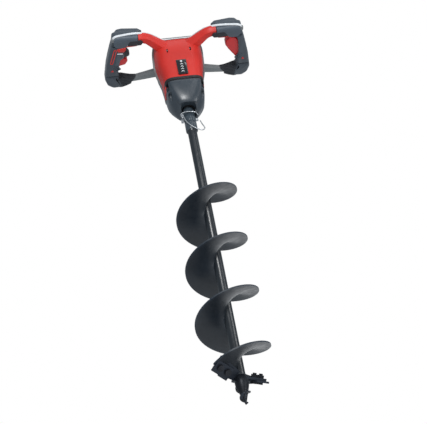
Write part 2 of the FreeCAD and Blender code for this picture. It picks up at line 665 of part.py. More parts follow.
def torsion_spring(side):
    """The lever's coiled return spring round its pin."""
    margin = COIL_WIRE + 0.1
    length = SPRING_SLOT[1] - SPRING_SLOT[0] - 2 * margin
    helix = Part.makeHelix(length / COIL_TURNS, length, COIL_RADIUS)
    helix.translate(Vector(0, 0, SPRING_SLOT[0] + margin))
    start = helix.Edges[0].Vertexes[0].Point
    circle = Part.Wire(Part.Circle(start, Vector(0, 1, 0), COIL_WIRE).toShape())
    coil = Part.Wire(helix.Edges).makePipeShell([circle], True, True)
    coil.translate(Vector(side * PIVOT_X, PIVOT_Y, 0))
    return coil


keep(shaped("left_trigger_shape", lever(-1, TRIGGER_PLAN)), "left_trigger")
keep(shaped("right_paddle_shape", lever(1, PADDLE_PLAN)), "right_paddle")
keep(shaped("left_spring_shape", torsion_spring(-1)), "left_trigger_spring")
keep(shaped("right_spring_shape", torsion_spring(1)), "paddle_spring")
pin_low, pin_high = handle_height - grip_depth / 2 + 2, handle_height + grip_depth / 2 - 2
trigger_pins = [rod(side_name + "_trigger_pin", trigger_pin_radius, (side * PIVOT_X, PIVOT_Y, pin_low),
                    (side * PIVOT_X, PIVOT_Y, pin_high)) for side_name, side in sides]
keep(group("trigger_pin_pair", trigger_pins), "trigger_pins")
for side_name, side in sides:
    low, high = sorted((side * 163.0, side * 168.9))
    keep(block(side_name + "_switch", (low, -12, handle_height - 6), (high, 8, handle_height + 6)),
         side_name + "_switch")

BUTTON_PLAN = [(157, -14.5), (127, -14.5), (120, -23), (128, -38), (157, -38)]
BUTTON_SPRING = {"y": -26.0, "radius": 3.0, "inner": 150.6, "outer": 168.9, "wire": 0.6, "turns": 5}
button = prism(side_run(-1, BUTTON_PLAN), lever_low, lever_high)
bore_start = Vector(-157.5, BUTTON_SPRING["y"], handle_height)
button = button.cut(Part.makeCylinder(BUTTON_SPRING["radius"] + 1.2, 13.0, bore_start, Vector(1, 0, 0)))
keep(shaped("left_lock_button_shape", button), "left_lock_button")
button_wire_radius = BUTTON_SPRING["wire"]
spring_length = BUTTON_SPRING["outer"] - BUTTON_SPRING["inner"] - 4 * button_wire_radius
button_helix = Part.makeHelix(spring_length / BUTTON_SPRING["turns"], spring_length, BUTTON_SPRING["radius"])
helix_start = button_helix.Edges[0].Vertexes[0].Point
button_wire = Part.Wire(Part.Circle(helix_start, Vector(0, 1, 0), button_wire_radius).toShape())
button_coil = Part.Wire(button_helix.Edges).makePipeShell([button_wire], True, True)
coil_foot = Vector(-BUTTON_SPRING["outer"] + 2 * button_wire_radius, BUTTON_SPRING["y"], handle_height)
button_coil.Placement = Placement(coil_foot, Rotation(Vector(0, 0, 1), Vector(1, 0, 0)))
keep(shaped("lock_button_spring_shape", button_coil), "lock_button_spring")

SWITCH_BACK = 61.0
slider = Part.makeBox(2 * SWITCH["x"], 14, 2 * SWITCH["z"],
                      Vector(-SWITCH["x"], SWITCH_BACK - 10, SWITCH["height"] - SWITCH["z"]))
keep(shaped("direction_switch_shape", slider), "direction_switch")


# ---------------------------------------------------------------- drill
socket_bottom, socket_top = size("socket_bottom"), size("socket_top")
socket_radius, tube_radius = size("socket_radius"), size("tube_radius")
tube_bottom, tube_top = size("tube_bottom"), size("tube_top")
tube_bore = tube_radius - size("tube_wall")
keep(ring("drill_tube", tube_radius, tube_bore, tube_bottom, tube_top), "drill_tube")
socket_blank = lathe("coupling_socket", [
    (tube_radius, socket_bottom), (socket_radius - 1, socket_bottom), (socket_radius, socket_bottom + 1.5),
    (socket_radius, socket_top - 1), (socket_radius - 1, socket_top), (running_bore, socket_top),
    (running_bore, tube_top), (tube_radius, tube_top)])
socket_hole = rod("socket_cross_hole", lock_pin_radius + fit_gap, (-20, 0, pin_height), (20, 0, pin_height))
keep(cut("socket_drilled", socket_blank, [socket_hole]), "coupling_socket")


def flight(label, turns, start_angle):
    """A right-hand helical flight: a radial strip swept along a helix."""
    helix = doc.addObject("Part::Helix", label + "_helix")
    bind(helix, "Pitch", label + "_pitch", size("flight_pitch"))
    bind(helix, "Height", label + "_rise", size("flight_pitch") * turns)
    bind(helix, "Radius", label + "_helix_radius", flight_radius / 2)
    strip = doc.addObject("Part::Plane", label + "_strip")
    bind(strip, "Length", label + "_strip_length", flight_radius - tube_radius + 0.5)
    bind(strip, "Width", label + "_strip_width", size("flight_thick"))
    strip.Placement = Placement(Vector(tube_radius - 0.5, 0, 0), Rotation(Vector(1, 0, 0), 90))
    swept = doc.addObject("Part::Sweep", label + "_sweep")
    swept.Sections = [strip]
    swept.Spine = (helix, ["Edge1"])
    swept.Solid = True
    swept.Frenet = True
    start_height = size("flight_bottom") + size("flight_pitch") * flight_trim / 360
    turn = Rotation(Vector(0, 0, 1), start_angle + flight_trim)
    swept.Placement = Placement(Vector(0, 0, start_height), turn)
    return swept


flight_radius = size("flight_radius")
flight_start = size("flight_start")
flight_trim = size("flight_trim")
main_flight = flight("main_flight", size("flight_turns") - flight_trim / 360, flight_start)
second_flight = flight("second_flight", size("second_turns") - flight_trim / 360, flight_start + 180)

BLADE_TURN, BLADE_TILT, BLADE_RISE = 36.3, 34.0, 11.0
BLADE_FOOT = (30.5, -15.9, 55.1)
HOLDER_THICK = 5.0
blade_length, blade_width, blade_thick = size("blade_length"), size("blade_width"), size("blade_thick")
BOLT_SEATS = ((0.22, 0.58), (0.70, 0.58))
BOLT_RADIUS, HEAD_RADIUS, NUT_RADIUS, NUT_DEPTH = 4.0, 7.0, 7.0, 6.0


def on_blade(shape, start_angle):
    """Move a shape from the blade's own plane to its place at a flight's leading end."""
    shape.rotate(Vector(0, 0, 0), Vector(1, 0, 0), BLADE_TILT)
    shape.rotate(Vector(0, 0, 0), Vector(0, 1, 0), -BLADE_RISE)
    shape.translate(Vector(*BLADE_FOOT))
    shape.rotate(Vector(0, 0, 0), Vector(0, 0, 1), start_angle + BLADE_TURN)
    return shape


def blade_blank():
    """A flat cutting blade with a stepped leading edge."""
    edge = [(0, 0), (blade_length * 0.52, 0), (blade_length * 0.56, 2.5), (blade_length, 2.5),
            (blade_length, blade_width), (0, blade_width)]
    return prism(edge, -blade_thick / 2, blade_thick / 2)


def holder_blank():
    """The welded plate behind the blade, long enough to reach the tube."""
    far_end = blade_length - 3
    outline = [(-26, 9), (0, 5), (far_end, 8), (far_end, blade_width + 9), (-26, blade_width + 1)]
    return prism(outline, blade_thick / 2, blade_thick / 2 + HOLDER_THICK)


tube_solid = Part.makeCylinder(tube_radius, tube_top - tube_bottom, Vector(0, 0, tube_bottom))
doc.recompute()
flight_shapes = [node.Shape.cut(tube_solid) for node in (main_flight, second_flight)]
blades, holders, bolts, nuts = [], [], [], []
for start_angle in (flight_start, flight_start + 180):
    blade = blade_blank()
    holder = holder_blank()
    for along, across in BOLT_SEATS:
        x, y = along * blade_length, across * blade_width
        hole = Part.makeCylinder(BOLT_RADIUS, 40, Vector(x, y, -20))
        blade = blade.cut(hole)
        holder = holder.cut(hole)
        shank = Part.makeCylinder(BOLT_RADIUS, 18, Vector(x, y, -blade_thick / 2))
        head = Part.makeCylinder(HEAD_RADIUS, 4.5, Vector(x, y, -blade_thick / 2 - 4.5))
        bolts.append(on_blade(shank.fuse(head), start_angle))
        corners = [math.radians(60 * number) for number in range(6)]
        hexagon = [(x + NUT_RADIUS * math.cos(turn), y + NUT_RADIUS * math.sin(turn)) for turn in corners]
        nut_low = blade_thick / 2 + HOLDER_THICK
        nuts.append(on_blade(prism(hexagon, nut_low, nut_low + NUT_DEPTH).cut(hole), start_angle))
    blades.append(on_blade(blade, start_angle))
    holders.append(on_blade(holder, start_angle).cut(tube_solid))


def largest_solid(shape):
    """The biggest solid of a shape, dropping chips that a cut left."""
    return sorted(shape.Solids, key=lambda solid: solid.Volume)[-1]


for number, flight_shape in enumerate(flight_shapes):
    for piece in nuts + bolts + blades:
        flight_shape = flight_shape.cut(piece)
    flight_shapes[number] = largest_solid(flight_shape)
for number, holder in enumerate(holders):
    for flight_shape in flight_shapes:
        holder = holder.cut(flight_shape)
    holders[number] = largest_solid(holder)
keep(shaped("main_flight_shape", flight_shapes[0]), "main_flight")
keep(shaped("second_flight_shape", flight_shapes[1]), "second_flight")
keep(shaped("cutting_blades_shape", Part.makeCompound(blades)), "cutting_blades")
keep(shaped("blade_holders_shape", Part.makeCompound(holders)), "blade_holders")
keep(shaped("blade_bolts_shape", Part.makeCompound(bolts)), "blade_bolts")
keep(shaped("blade_nuts_shape", Part.makeCompound(nuts)), "blade_nuts")

PILOT_TOP = tube_bottom
PILOT_TAPER = 19.0
pilot_core = Part.makeCone(0.6, 10.0, PILOT_TOP, Vector(0, 0, 0))
pilot_stub = Part.makeCylinder(tube_bore, 20, Vector(0, 0, PILOT_TOP - 1))
pilot_helix = Part.makeHelix(size("pilot_pitch"), PILOT_TOP - 7, 1.2, PILOT_TAPER)
pilot_helix.translate(Vector(0, 0, 4))
lobe_start = pilot_helix.Edges[0].Vertexes[0].Point
LOBE_SECTION = ((-1.2, 0, -2.0), (2.6, 0, -0.6), (2.6, 0, 0.9), (-1.2, 0, 2.0))
lobe = [lobe_start + Vector(*offset) for offset in LOBE_SECTION]
lobe_wire = Part.makePolygon(lobe + [lobe[0]])
pilot_thread = Part.Wire(pilot_helix.Edges).makePipeShell([lobe_wire], True, True)
pilot = pilot_core.fuse(pilot_stub).fuse(pilot_thread)
keep(shaped("pilot_point_shape", pilot), "pilot_point")


# ---------------------------------------------------------------- lock pin and its wire bail
PIN_HEAD_X, STUD_RADIUS, BAIL_Y, BAIL_WIRE = -18.0, 1.55, -17.5, 1.3
pin_bar = Part.makeCylinder(lock_pin_radius, 38, Vector(-18, 0, pin_height), Vector(1, 0, 0))
pin_head = Part.makeCylinder(6.0, 4.5, Vector(PIN_HEAD_X - 2.5, 0, pin_height), Vector(1, 0, 0))
stud = Part.makeCylinder(STUD_RADIUS, 18, Vector(PIN_HEAD_X, -3, pin_height), Vector(0, -1, 0))
stud_cap = Part.makeCylinder(2.8, 1.2, Vector(PIN_HEAD_X, -20.0, pin_height), Vector(0, -1, 0))
keep(shaped("lock_pin_shape", pin_bar.fuse([pin_head, stud, stud_cap]).removeSplitter()), "lock_pin")
UPPER_ARM = [(-20.5, 770), (-21.5, 775), (-12, 780.5), (4, 780.8), (15, 777.5), (19, 768)]
LOWER_ARM = [(-16, 765), (-11, 750), (-1, 735), (12, 724), (24, 718), (30, 724), (25, 737), (21.5, 749)]
eye = Part.makeTorus(STUD_RADIUS + fit_gap + BAIL_WIRE, BAIL_WIRE, Vector(PIN_HEAD_X, BAIL_Y, pin_height),
                     Vector(0, 1, 0))
arms = [wire_form([(x, BAIL_Y, z) for x, z in run], BAIL_WIRE) for run in (UPPER_ARM, LOWER_ARM)]
keep(shaped("bail_shape", eye.fuse(arms)), "lock_pin_bail")


# ---------------------------------------------------------------- checks and export
doc.recompute()
for feature in doc.Objects:
    if "Invalid" in feature.State or "Error" in feature.State:
        raise RuntimeError("%s failed: %s" % (feature.Label, feature.State))
os.makedirs("parts", exist_ok=True)
for feature in nodes:
    shape = feature.Shape
    if shape.isNull() or not shape.isValid():
        raise RuntimeError("%s has no valid shape" % feature.Label)
    shape.exportStep(os.path.join("parts", feature.Label + ".step"))
    box = shape.BoundBox
    extent = "x %.1f..%.1f  y %.1f..%.1f  z %.1f..%.1f" % (box.XMin, box.XMax, box.YMin, box.YMax,
                                                           box.ZMin, box.ZMax)
    print("%-22s %9.1f mm3  %s  solids %d" % (feature.Label, shape.Volume, extent, len(shape.Solids)))
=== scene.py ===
"""Looks of the cordless earth auger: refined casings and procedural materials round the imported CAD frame.

Lengths are millimetres in the CAD frame (tip of the pilot at the origin, +Z up the drill, -Y the front of
the power head, +X its right handle) and become metres only where a mesh is made. Lights, the floor and the
scales in materials are in metres.
"""
import json
import math

import bmesh
import bpy
from mathutils import Matrix, Vector


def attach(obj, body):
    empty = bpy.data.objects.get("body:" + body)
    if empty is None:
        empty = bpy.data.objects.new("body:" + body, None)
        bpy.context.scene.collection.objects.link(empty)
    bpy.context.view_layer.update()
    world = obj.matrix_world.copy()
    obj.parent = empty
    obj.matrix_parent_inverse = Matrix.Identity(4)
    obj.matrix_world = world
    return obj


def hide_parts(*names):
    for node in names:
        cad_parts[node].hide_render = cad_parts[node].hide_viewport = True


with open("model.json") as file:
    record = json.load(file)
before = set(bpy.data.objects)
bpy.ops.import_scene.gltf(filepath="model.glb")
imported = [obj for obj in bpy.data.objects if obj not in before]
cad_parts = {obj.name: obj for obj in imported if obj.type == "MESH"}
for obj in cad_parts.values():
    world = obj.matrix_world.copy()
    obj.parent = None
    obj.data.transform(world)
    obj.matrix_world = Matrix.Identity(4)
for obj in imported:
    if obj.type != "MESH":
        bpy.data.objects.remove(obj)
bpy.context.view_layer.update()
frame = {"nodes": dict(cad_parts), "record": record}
MM = 0.001
JOIN_GAP = 1e-6
SIDES = (("left", -1), ("right", 1))

# ---------------------------------------------------------------- camera, floor and light
CAMERA_PLACE = Vector((-279.3, -2145.2, -1101.4))
CAMERA_RIGHT = Vector((0.98718, -0.01640, -0.15876))
CAMERA_UP = Vector((0.11708, -0.60163, 0.79015))
CAMERA_LENS = 100.49
SENSOR_WIDTH = 36
FAR_CLIP = 50

AMBIENT_COLOUR, AMBIENT_STRENGTH = (0.82, 0.91, 1, 1), 0.40
WHITE = (1, 1, 1, 1)
FLOOR_REACH, FLOOR_DEPTH = 12, -2.6
FLOOR_COLOUR, FLOOR_ROUGHNESS, FLOOR_GLOW = (0.86, 0.86, 0.86), 0.9, 0.22
LIGHT_TARGET = (0, 0, 0.6)
# name, place, width and height, power
LIGHTS = (
    ("key_light", (-0.4, -3, 0.85), (0.9, 0.8), 50),
    ("fill_light", (2.2, -1.8, 0), (1, 1), 16),
    ("strip_near", (0.98, -2.52, 2.3), (0.26, 2.2), 7),
    ("strip_side", (2.47, -1.09, 2.3), (0.26, 2.2), 7),
    ("top_light", (0.2, -0.6, 3.4), (2.2, 2.2), 10),
    ("back_light", (1.4, 3, 0.6), (2.6, 2.6), 18),
)


def set_inputs(node, **values):
    """A node's constants by input name, with _ for a space."""
    for key, value in values.items():
        node.inputs[key.replace("_", " ")].default_value = value
    return node


def add_node(tree, kind, **values):
    """A new shader node with its constants set."""
    return set_inputs(tree.nodes.new("ShaderNode" + kind), **values)


def add_material(name, colour, roughness, **constants):
    """A new material with its Principled shader's constants set."""
    material = bpy.data.materials.new(name)
    material.use_nodes = True
    shader = material.node_tree.nodes["Principled BSDF"]
    set_inputs(shader, Base_Color=(*colour, 1), Roughness=roughness, **constants)
    return material, shader


def link(thing):
    """Put an object into the scene."""
    bpy.context.scene.collection.objects.link(thing)
    return thing


def make_camera():
    """The camera below and in front of the drill, looking up, rolled a little."""
    data = bpy.data.cameras.new("view_camera")
    data.lens = CAMERA_LENS
    data.sensor_width = SENSOR_WIDTH
    data.clip_end = FAR_CLIP
    camera = link(bpy.data.objects.new("view_camera", data))
    back = CAMERA_RIGHT.cross(CAMERA_UP)
    turn = Matrix((CAMERA_RIGHT, CAMERA_UP, back)).transposed().to_4x4()
    camera.matrix_world = Matrix.Translation(CAMERA_PLACE * MM) @ turn
    bpy.context.scene.camera = camera


def make_lights():
    """Soft rectangular lights, all aimed at the middle of the tool."""
    for name, place, (width, height), power in LIGHTS:
        data = bpy.data.lights.new(name, "AREA")
        data.shape = "RECTANGLE"
        data.size = width
        data.size_y = height
        data.energy = power
        lamp = link(bpy.data.objects.new(name, data))
        lamp.location = place
        aim = Vector(LIGHT_TARGET) - Vector(place)
        lamp.rotation_euler = aim.to_track_quat("-Z", "Y").to_euler()


def make_surround():
    """A white backdrop behind a dimmer, slightly blue surround that lights the tool."""
    scene = bpy.context.scene
    scene.view_settings.view_transform = "Standard"
    world = bpy.data.worlds.new("studio")
    world.use_nodes = True
    scene.world = world
    tree = world.node_tree
    tree.nodes.clear()
    mix = add_node(tree, "MixShader")
    tree.links.new(add_node(tree, "LightPath").outputs["Is Camera Ray"], mix.inputs["Fac"])
    for index, colour, strength in ((1, AMBIENT_COLOUR, AMBIENT_STRENGTH), (2, WHITE, 1)):
        background = add_node(tree, "Background", Color=colour, Strength=strength)
        tree.links.new(background.outputs[0], mix.inputs[index])
    tree.links.new(mix.outputs[0], add_node(tree, "OutputWorld").inputs[0])


def make_floor():
    """A plain pale floor far below the tool."""
    mesh = bpy.data.meshes.new("floor")
    signs = ((-1, -1), (1, -1), (1, 1), (-1, 1))
    corners = [(x * FLOOR_REACH, y * FLOOR_REACH, FLOOR_DEPTH) for x, y in signs]
    mesh.from_pydata(corners, [], [(0, 1, 2, 3)])
    pale, _ = add_material("pale_floor", FLOOR_COLOUR, FLOOR_ROUGHNESS, Emission_Color=WHITE,
                           Emission_Strength=FLOOR_GLOW)
    mesh.materials.append(pale)
    link(bpy.data.objects.new("floor", mesh))


# ---------------------------------------------------------------- materials
def noise(tree, scale, detail, stretch=(1, 1, 1)):
    """Object-space noise; scale is in features per metre."""
    mapping = add_node(tree, "Mapping", Scale=stretch)
    texture = add_node(tree, "TexNoise", Scale=scale, Detail=detail)
    tree.links.new(add_node(tree, "TexCoord").outputs["Object"], mapping.inputs["Vector"])
    tree.links.new(mapping.outputs["Vector"], texture.inputs["Vector"])
    return texture.outputs["Fac"]


def ramp(tree, source, low, high):
    """A colour ramp over a 0 to 1 source; low and high are (position, colour)."""
    node = add_node(tree, "ValToRGB")
    for element, (position, colour) in zip(node.color_ramp.elements, (low, high)):
        element.position = position
        element.color = (*colour, 1)
    tree.links.new(source, node.inputs["Fac"])
    return node.outputs["Color"]


def grey_ramp(tree, source, low, high, start=0.35, end=0.65):
    """A number that runs from low to high while its source runs from start to end."""
    node = add_node(tree, "MapRange", From_Min=start, From_Max=end, To_Min=low, To_Max=high)
    tree.links.new(source, node.inputs["Value"])
    return node.outputs["Result"]


def blend_to(tree, factor, colour_socket, colour):
    """A colour socket mixed towards a plain colour by a factor socket."""
    node = add_node(tree, "Mix")
    node.data_type = "RGBA"
    factor_input, first_input, second_input = node.inputs[0], node.inputs[6], node.inputs[7]
    tree.links.new(factor, factor_input)
    tree.links.new(colour_socket, first_input)
    second_input.default_value = (*colour, 1)
    return node.outputs[2]


def bump(tree, height, strength, distance):
    """A bump whose distance is in metres."""
    node = add_node(tree, "Bump", Strength=strength, Distance=distance)
    tree.links.new(height, node.inputs["Height"])
    return node.outputs["Normal"]


def shade(colour, factor):
    """A colour made lighter or darker."""
    return tuple(min(1, channel * factor) for channel in colour)


MOTTLE_SCALE, GLOSS_SCALE = 14, 90
RUBBED_AMOUNT, RUBBED_FROM, RUBBED_TO = 0.55, 0.52, 0.60
GRAIN_STRENGTH = 0.5
SCRATCH_SCALE, SCRATCH_STRENGTH, SCRATCH_DEPTH = 900, 0.35, 0.00003
TARNISH_SCALE, TARNISH_SHADE = 45, 0.6


def moulded(name, colour, roughness, grain=2600, grain_depth=0.000015, dust=0.10, edge=1.35, **constants):
    """Moulded plastic or paint: fine spark-eroded grain, faint mottling, rubbed edges, uneven gloss."""
    material, shader = add_material(name, colour, roughness, **constants)
    tree = material.node_tree
    broad = noise(tree, MOTTLE_SCALE, 3)
    middle = noise(tree, GLOSS_SCALE, 4)
    fine = noise(tree, grain, 2)
    mottled = ramp(tree, broad, (0.3, shade(colour, 1 - dust)), (0.7, shade(colour, 1 + dust)))
    edges = add_node(tree, "NewGeometry").outputs["Pointiness"]
    rubbed = grey_ramp(tree, edges, 0, RUBBED_AMOUNT, RUBBED_FROM, RUBBED_TO)
    tree.links.new(blend_to(tree, rubbed, mottled, shade(colour, edge)), shader.inputs["Base Color"])
    tree.links.new(grey_ramp(tree, middle, roughness * 0.88, roughness * 1.15), shader.inputs["Roughness"])
    tree.links.new(bump(tree, fine, GRAIN_STRENGTH, grain_depth), shader.inputs["Normal"])
    return material


def metal(name, colour, roughness, stretch=(1, 1, 1)):
    """Bare or plated metal with drawn scratches along one axis and cloudy tarnish."""
    material, shader = add_material(name, colour, roughness, Metallic=1)
    tree = material.node_tree
    lines = noise(tree, SCRATCH_SCALE, 3, stretch)
    clouds = noise(tree, TARNISH_SCALE, 4)
    tarnished = ramp(tree, clouds, (0.35, shade(colour, TARNISH_SHADE)), (0.62, colour))
    tree.links.new(tarnished, shader.inputs["Base Color"])
    tree.links.new(grey_ramp(tree, lines, roughness * 0.75, roughness * 1.35), shader.inputs["Roughness"])
    tree.links.new(bump(tree, lines, SCRATCH_STRENGTH, SCRATCH_DEPTH), shader.inputs["Normal"])
    return material


def layered(name, colour, roughness, direction, scale, distortion, strength, depth):
    """Metal with close even lines: stacked sheets or wound wire."""
    material = metal(name, colour, roughness)
    tree = material.node_tree
    lines = add_node(tree, "TexWave", Scale=scale, Distortion=distortion)
    lines.bands_direction = direction
    tree.links.new(add_node(tree, "TexCoord").outputs["Object"], lines.inputs["Vector"])
    normal = bump(tree, lines.outputs["Fac"], strength, depth)
    tree.links.new(normal, tree.nodes["Principled BSDF"].inputs["Normal"])
    return material


# name: colour, roughness and the options of moulded
MOULDED = {
    "red_plastic": ((0.585, 0.030, 0.022), 0.44,
                    dict(Coat_Weight=0.1, Coat_Roughness=0.3, Specular_IOR_Level=0.3)),
    "trigger_red": ((0.62, 0.014, 0.016), 0.38, dict(Coat_Weight=0.2, Coat_Roughness=0.25)),
    "grey_plastic": ((0.17, 0.185, 0.19), 0.48, {}),
    "dark_overmould": ((0.036, 0.050, 0.066), 0.52, dict(grain=1700, grain_depth=0.00004, Sheen_Weight=0.15)),
    "cover_slate": ((0.060, 0.080, 0.102), 0.46, dict(grain=1500, grain_depth=0.00003)),
    "black_rubber": ((0.016, 0.019, 0.025), 0.62, dict(grain=1500, grain_depth=0.00007)),
    # pale silver: the ribs' trim colour with a painted highlight in it, and on the left bar a painted
    # highlight alone
    "silver_trim": ((0.72, 0.75, 0.77), 0.42, dict(grain_depth=0.000006, edge=1.1, dust=0.04, Metallic=0.2)),
    "badge_black": ((0.008, 0.008, 0.010), 0.16, dict(grain=700, Coat_Weight=0.6)),
    "badge_mark": ((0.55, 0.56, 0.57), 0.35, dict(dust=0.04)),
    "gearbox_slate": ((0.026, 0.037, 0.049), 0.36,
                      dict(grain=900, grain_depth=0.00002, Coat_Weight=0.35, Coat_Roughness=0.28)),
    "vent_black": ((0.010, 0.011, 0.013), 0.42, {}),
    "terminal_black": ((0.012, 0.012, 0.013), 0.5, {}),
    "potted_board": ((0.012, 0.03, 0.02), 0.3, dict(grain=300, grain_depth=0.0003)),
    "fan_nylon": ((0.03, 0.03, 0.034), 0.5, {}),
    "spindle_steel": ((0.13, 0.16, 0.19), 0.30, dict(grain=700, grain_depth=0.00001, Metallic=0.35)),
    "seal_rubber": ((0.014, 0.014, 0.015), 0.6, {}),
    "switch_black": ((0.014, 0.014, 0.015), 0.5, {}),
    "button_black": ((0.012, 0.013, 0.016), 0.42, {}),
    "drill_paint": ((0.0085, 0.0135, 0.0205), 0.42,
                    dict(grain=420, grain_depth=0.00008, dust=0.2, edge=2.6, Coat_Weight=0.12,
                         Coat_Roughness=0.35)),
    "tube_paint": ((0.0075, 0.0115, 0.0165), 0.34,
                   dict(grain=200, grain_depth=0.000004, dust=0.2, edge=1.3, Coat_Weight=0.4,
                        Coat_Roughness=0.2)),
    # painted light: a much lighter copy of the drill's dark paint, so the socket top in the bell's mouth
    # looks lit
    "lit_socket_paint": ((0.040, 0.055, 0.070), 0.26,
                     dict(grain=300, grain_depth=0.000006, edge=1.2, Coat_Weight=0.4, Coat_Roughness=0.1)),
    "blade_steel": ((0.008, 0.010, 0.014), 0.42,
                    dict(grain=500, grain_depth=0.00012, dust=0.25, edge=5, Metallic=0.5)),
    "pin_chrome": ((0.46, 0.48, 0.50), 0.34,
                   dict(grain=500, grain_depth=0.000004, dust=0.1, edge=1.1, Metallic=0.9)),
}
# name: colour, roughness and how far the scratches are squeezed along each axis
METALS = {
    "contact_brass": ((0.80, 0.62, 0.30), 0.3, (1, 8, 1)),
    "screw_steel": ((0.34, 0.34, 0.35), 0.36),
    "bare_aluminium": ((0.72, 0.73, 0.74), 0.38, (1, 1, 6)),
    "bearing_steel": ((0.66, 0.67, 0.68), 0.18, (1, 1, 10)),
    "magnet_grey": ((0.34, 0.34, 0.35), 0.4),
    "gear_steel": ((0.50, 0.50, 0.51), 0.32, (1, 1, 8)),
    "pin_steel": ((0.60, 0.60, 0.61), 0.24, (1, 1, 8)),
    "spring_steel": ((0.46, 0.46, 0.48), 0.3),
    "bolt_steel": ((0.055, 0.058, 0.066), 0.5),
}
SHEET_PITCH = 2
SHEET_LINES = 1 / (SHEET_PITCH * MM * 2 * math.pi)
WIRE_LINES = 260

finishes = {name: moulded(name, colour, roughness, **options)
            for name, (colour, roughness, options) in MOULDED.items()}
finishes.update((name, metal(name, *values)) for name, values in METALS.items())
finishes["lamination_steel"] = layered("lamination_steel", (0.22, 0.22, 0.23), 0.45, "Z", SHEET_LINES, 0,
                                       0.6, 0.0002)
finishes["copper_wire"] = layered("copper_wire", (0.72, 0.30, 0.12), 0.34, "DIAGONAL", WIRE_LINES, 0.6,
                                  0.8, 0.0004)


def dress_cad_nodes():
    """Every CAD node gets the finish of its slot in the record."""
    for entry in frame["record"]["subparts"]:
        node = frame["nodes"][entry["node"]]
        node.data.materials.clear()
        node.data.materials.append(finishes[entry["material_slot"]])


# ---------------------------------------------------------------- mesh helpers
def mirrored(geometry):
    """The same points and faces on the other side of the YZ plane."""
    points, faces = geometry
    return [(-x, y, z) for x, y, z in points], [tuple(reversed(face)) for face in faces]


def sided(geometry, side):
    """Right-hand geometry, or its mirror image for the left side."""
    return geometry if side > 0 else mirrored(geometry)


def merged(*geometries):
    """Several (points, faces) pairs as one."""
    points, faces = [], []
    for more_points, more_faces in geometries:
        base = len(points)
        points += list(more_points)
        faces += [tuple(index + base for index in face) for face in more_faces]
    return points, faces


def quads(rows, count, closed):
    """Quads between neighbouring rows of count points, round and round or from edge to edge."""
    faces = []
    for row in range(rows - 1):
        for column in range(count if closed else count - 1):
            a = row * count + column
            b = row * count + (column + 1) % count
            faces.append((a, b, b + count, a + count))
    return faces


def loft(rings, capped=True):
    """Closed rings of equal length joined by quads, with end caps."""
    count = len(rings[0])
    points = [point for ring in rings for point in ring]
    faces = quads(len(rings), count, True)
    if capped:
        last = (len(rings) - 1) * count
        faces.append(tuple(reversed(range(count))))
        faces.append(tuple(last + column for column in range(count)))
    return points, faces


def sheet_grid(rows):
    """Open rows of equal length joined by quads."""
    return [point for row in rows for point in row], quads(len(rows), len(rows[0]), False)


def circle(radius, count, x=0, y=0):
    """A circle as plan points."""
    turns = [2 * math.pi * step / count for step in range(count)]
    return [(x + radius * math.cos(turn), y + radius * math.sin(turn)) for turn in turns]


def rounded(outline, steps=5):
    """A plan outline of (x, y, corner radius) points with its corners rounded."""
    result = []
    count = len(outline)
    for index, (x, y, radius) in enumerate(outline):
        corner = Vector((x, y))
        before = Vector(outline[index - 1][:2]) - corner
        after = Vector(outline[(index + 1) % count][:2]) - corner
        if radius <= 0:
            result.append((x, y))
            continue
        half = before.angle(after) / 2
        reach = min(radius / math.tan(half), 0.48 * before.length, 0.48 * after.length)
        first = corner + before.normalized() * reach
        last = corner + after.normalized() * reach
        for step in range(steps + 1):
            share = step / steps
            point = first.lerp(corner, share).lerp(corner.lerp(last, share), share)
            result.append((point.x, point.y))
    return result


def rounded_box(low_x, high_x, low_y, high_y, radius, steps=5):
    """A rounded rectangle as plan points."""
    return rounded([(low_x, low_y, radius), (high_x, low_y, radius), (high_x, high_y, radius),
                    (low_x, high_y, radius)], steps)


def ring_at(outline, level, axis="Z"):
    """A flat outline placed at a level of an axis; its numbers are the other two axes in order."""
    place = "XYZ".index(axis)
    return [(*point[:place], level, *point[place:]) for point in outline]


def prism(outline, low, high, axis="Z"):
    """A flat outline extruded along an axis."""
    return loft([ring_at(outline, level, axis) for level in (low, high)])


def smooth_path(points, samples=10):
    """A Catmull-Rom run through points, so that a few points make a smooth curve."""
    vectors = [Vector(point) for point in points]
    padded = [2 * vectors[0] - vectors[1]] + vectors + [2 * vectors[-1] - vectors[-2]]
    result = []
    for a, b, c, d in zip(padded, padded[1:], padded[2:], padded[3:]):
        for step in range(samples):
            t = step / samples
            result.append(0.5 * (2 * b + (c - a) * t + (2 * a - 5 * b + 4 * c - d) * t * t
                                 + (3 * b - a - 3 * c + d) * t ** 3))
    result.append(vectors[-1])
    return result


def along(path, section):
    """Rings of a section (share along the path -> list of (across, up)) carried along a path."""
    rings = []
    for index, place in enumerate(path):
        before = path[max(index - 1, 0)]
        after = path[min(index + 1, len(path) - 1)]
        tangent = (after - before).normalized()
        across = tangent.cross(Vector((0, 0, 1))).normalized()
        up = across.cross(tangent)
        share = index / (len(path) - 1)
        rings.append([tuple(place + across * a + up * b) for a, b in section(share)])
    return rings


def apply_modifiers(piece):
    """Turn a piece's modifiers into its mesh."""
    bpy.context.view_layer.update()
    graph = bpy.context.evaluated_depsgraph_get()
    mesh = bpy.data.meshes.new_from_object(piece.evaluated_get(graph))
    old = piece.data
    piece.modifiers.clear()
    piece.data = mesh
    bpy.data.meshes.remove(old)


def edit_mesh(mesh, change):
    """Run a change on a mesh's editable copy and write it back."""
    editing = bmesh.new()
    editing.from_mesh(mesh)
    change(editing)
    editing.to_mesh(mesh)
    editing.free()


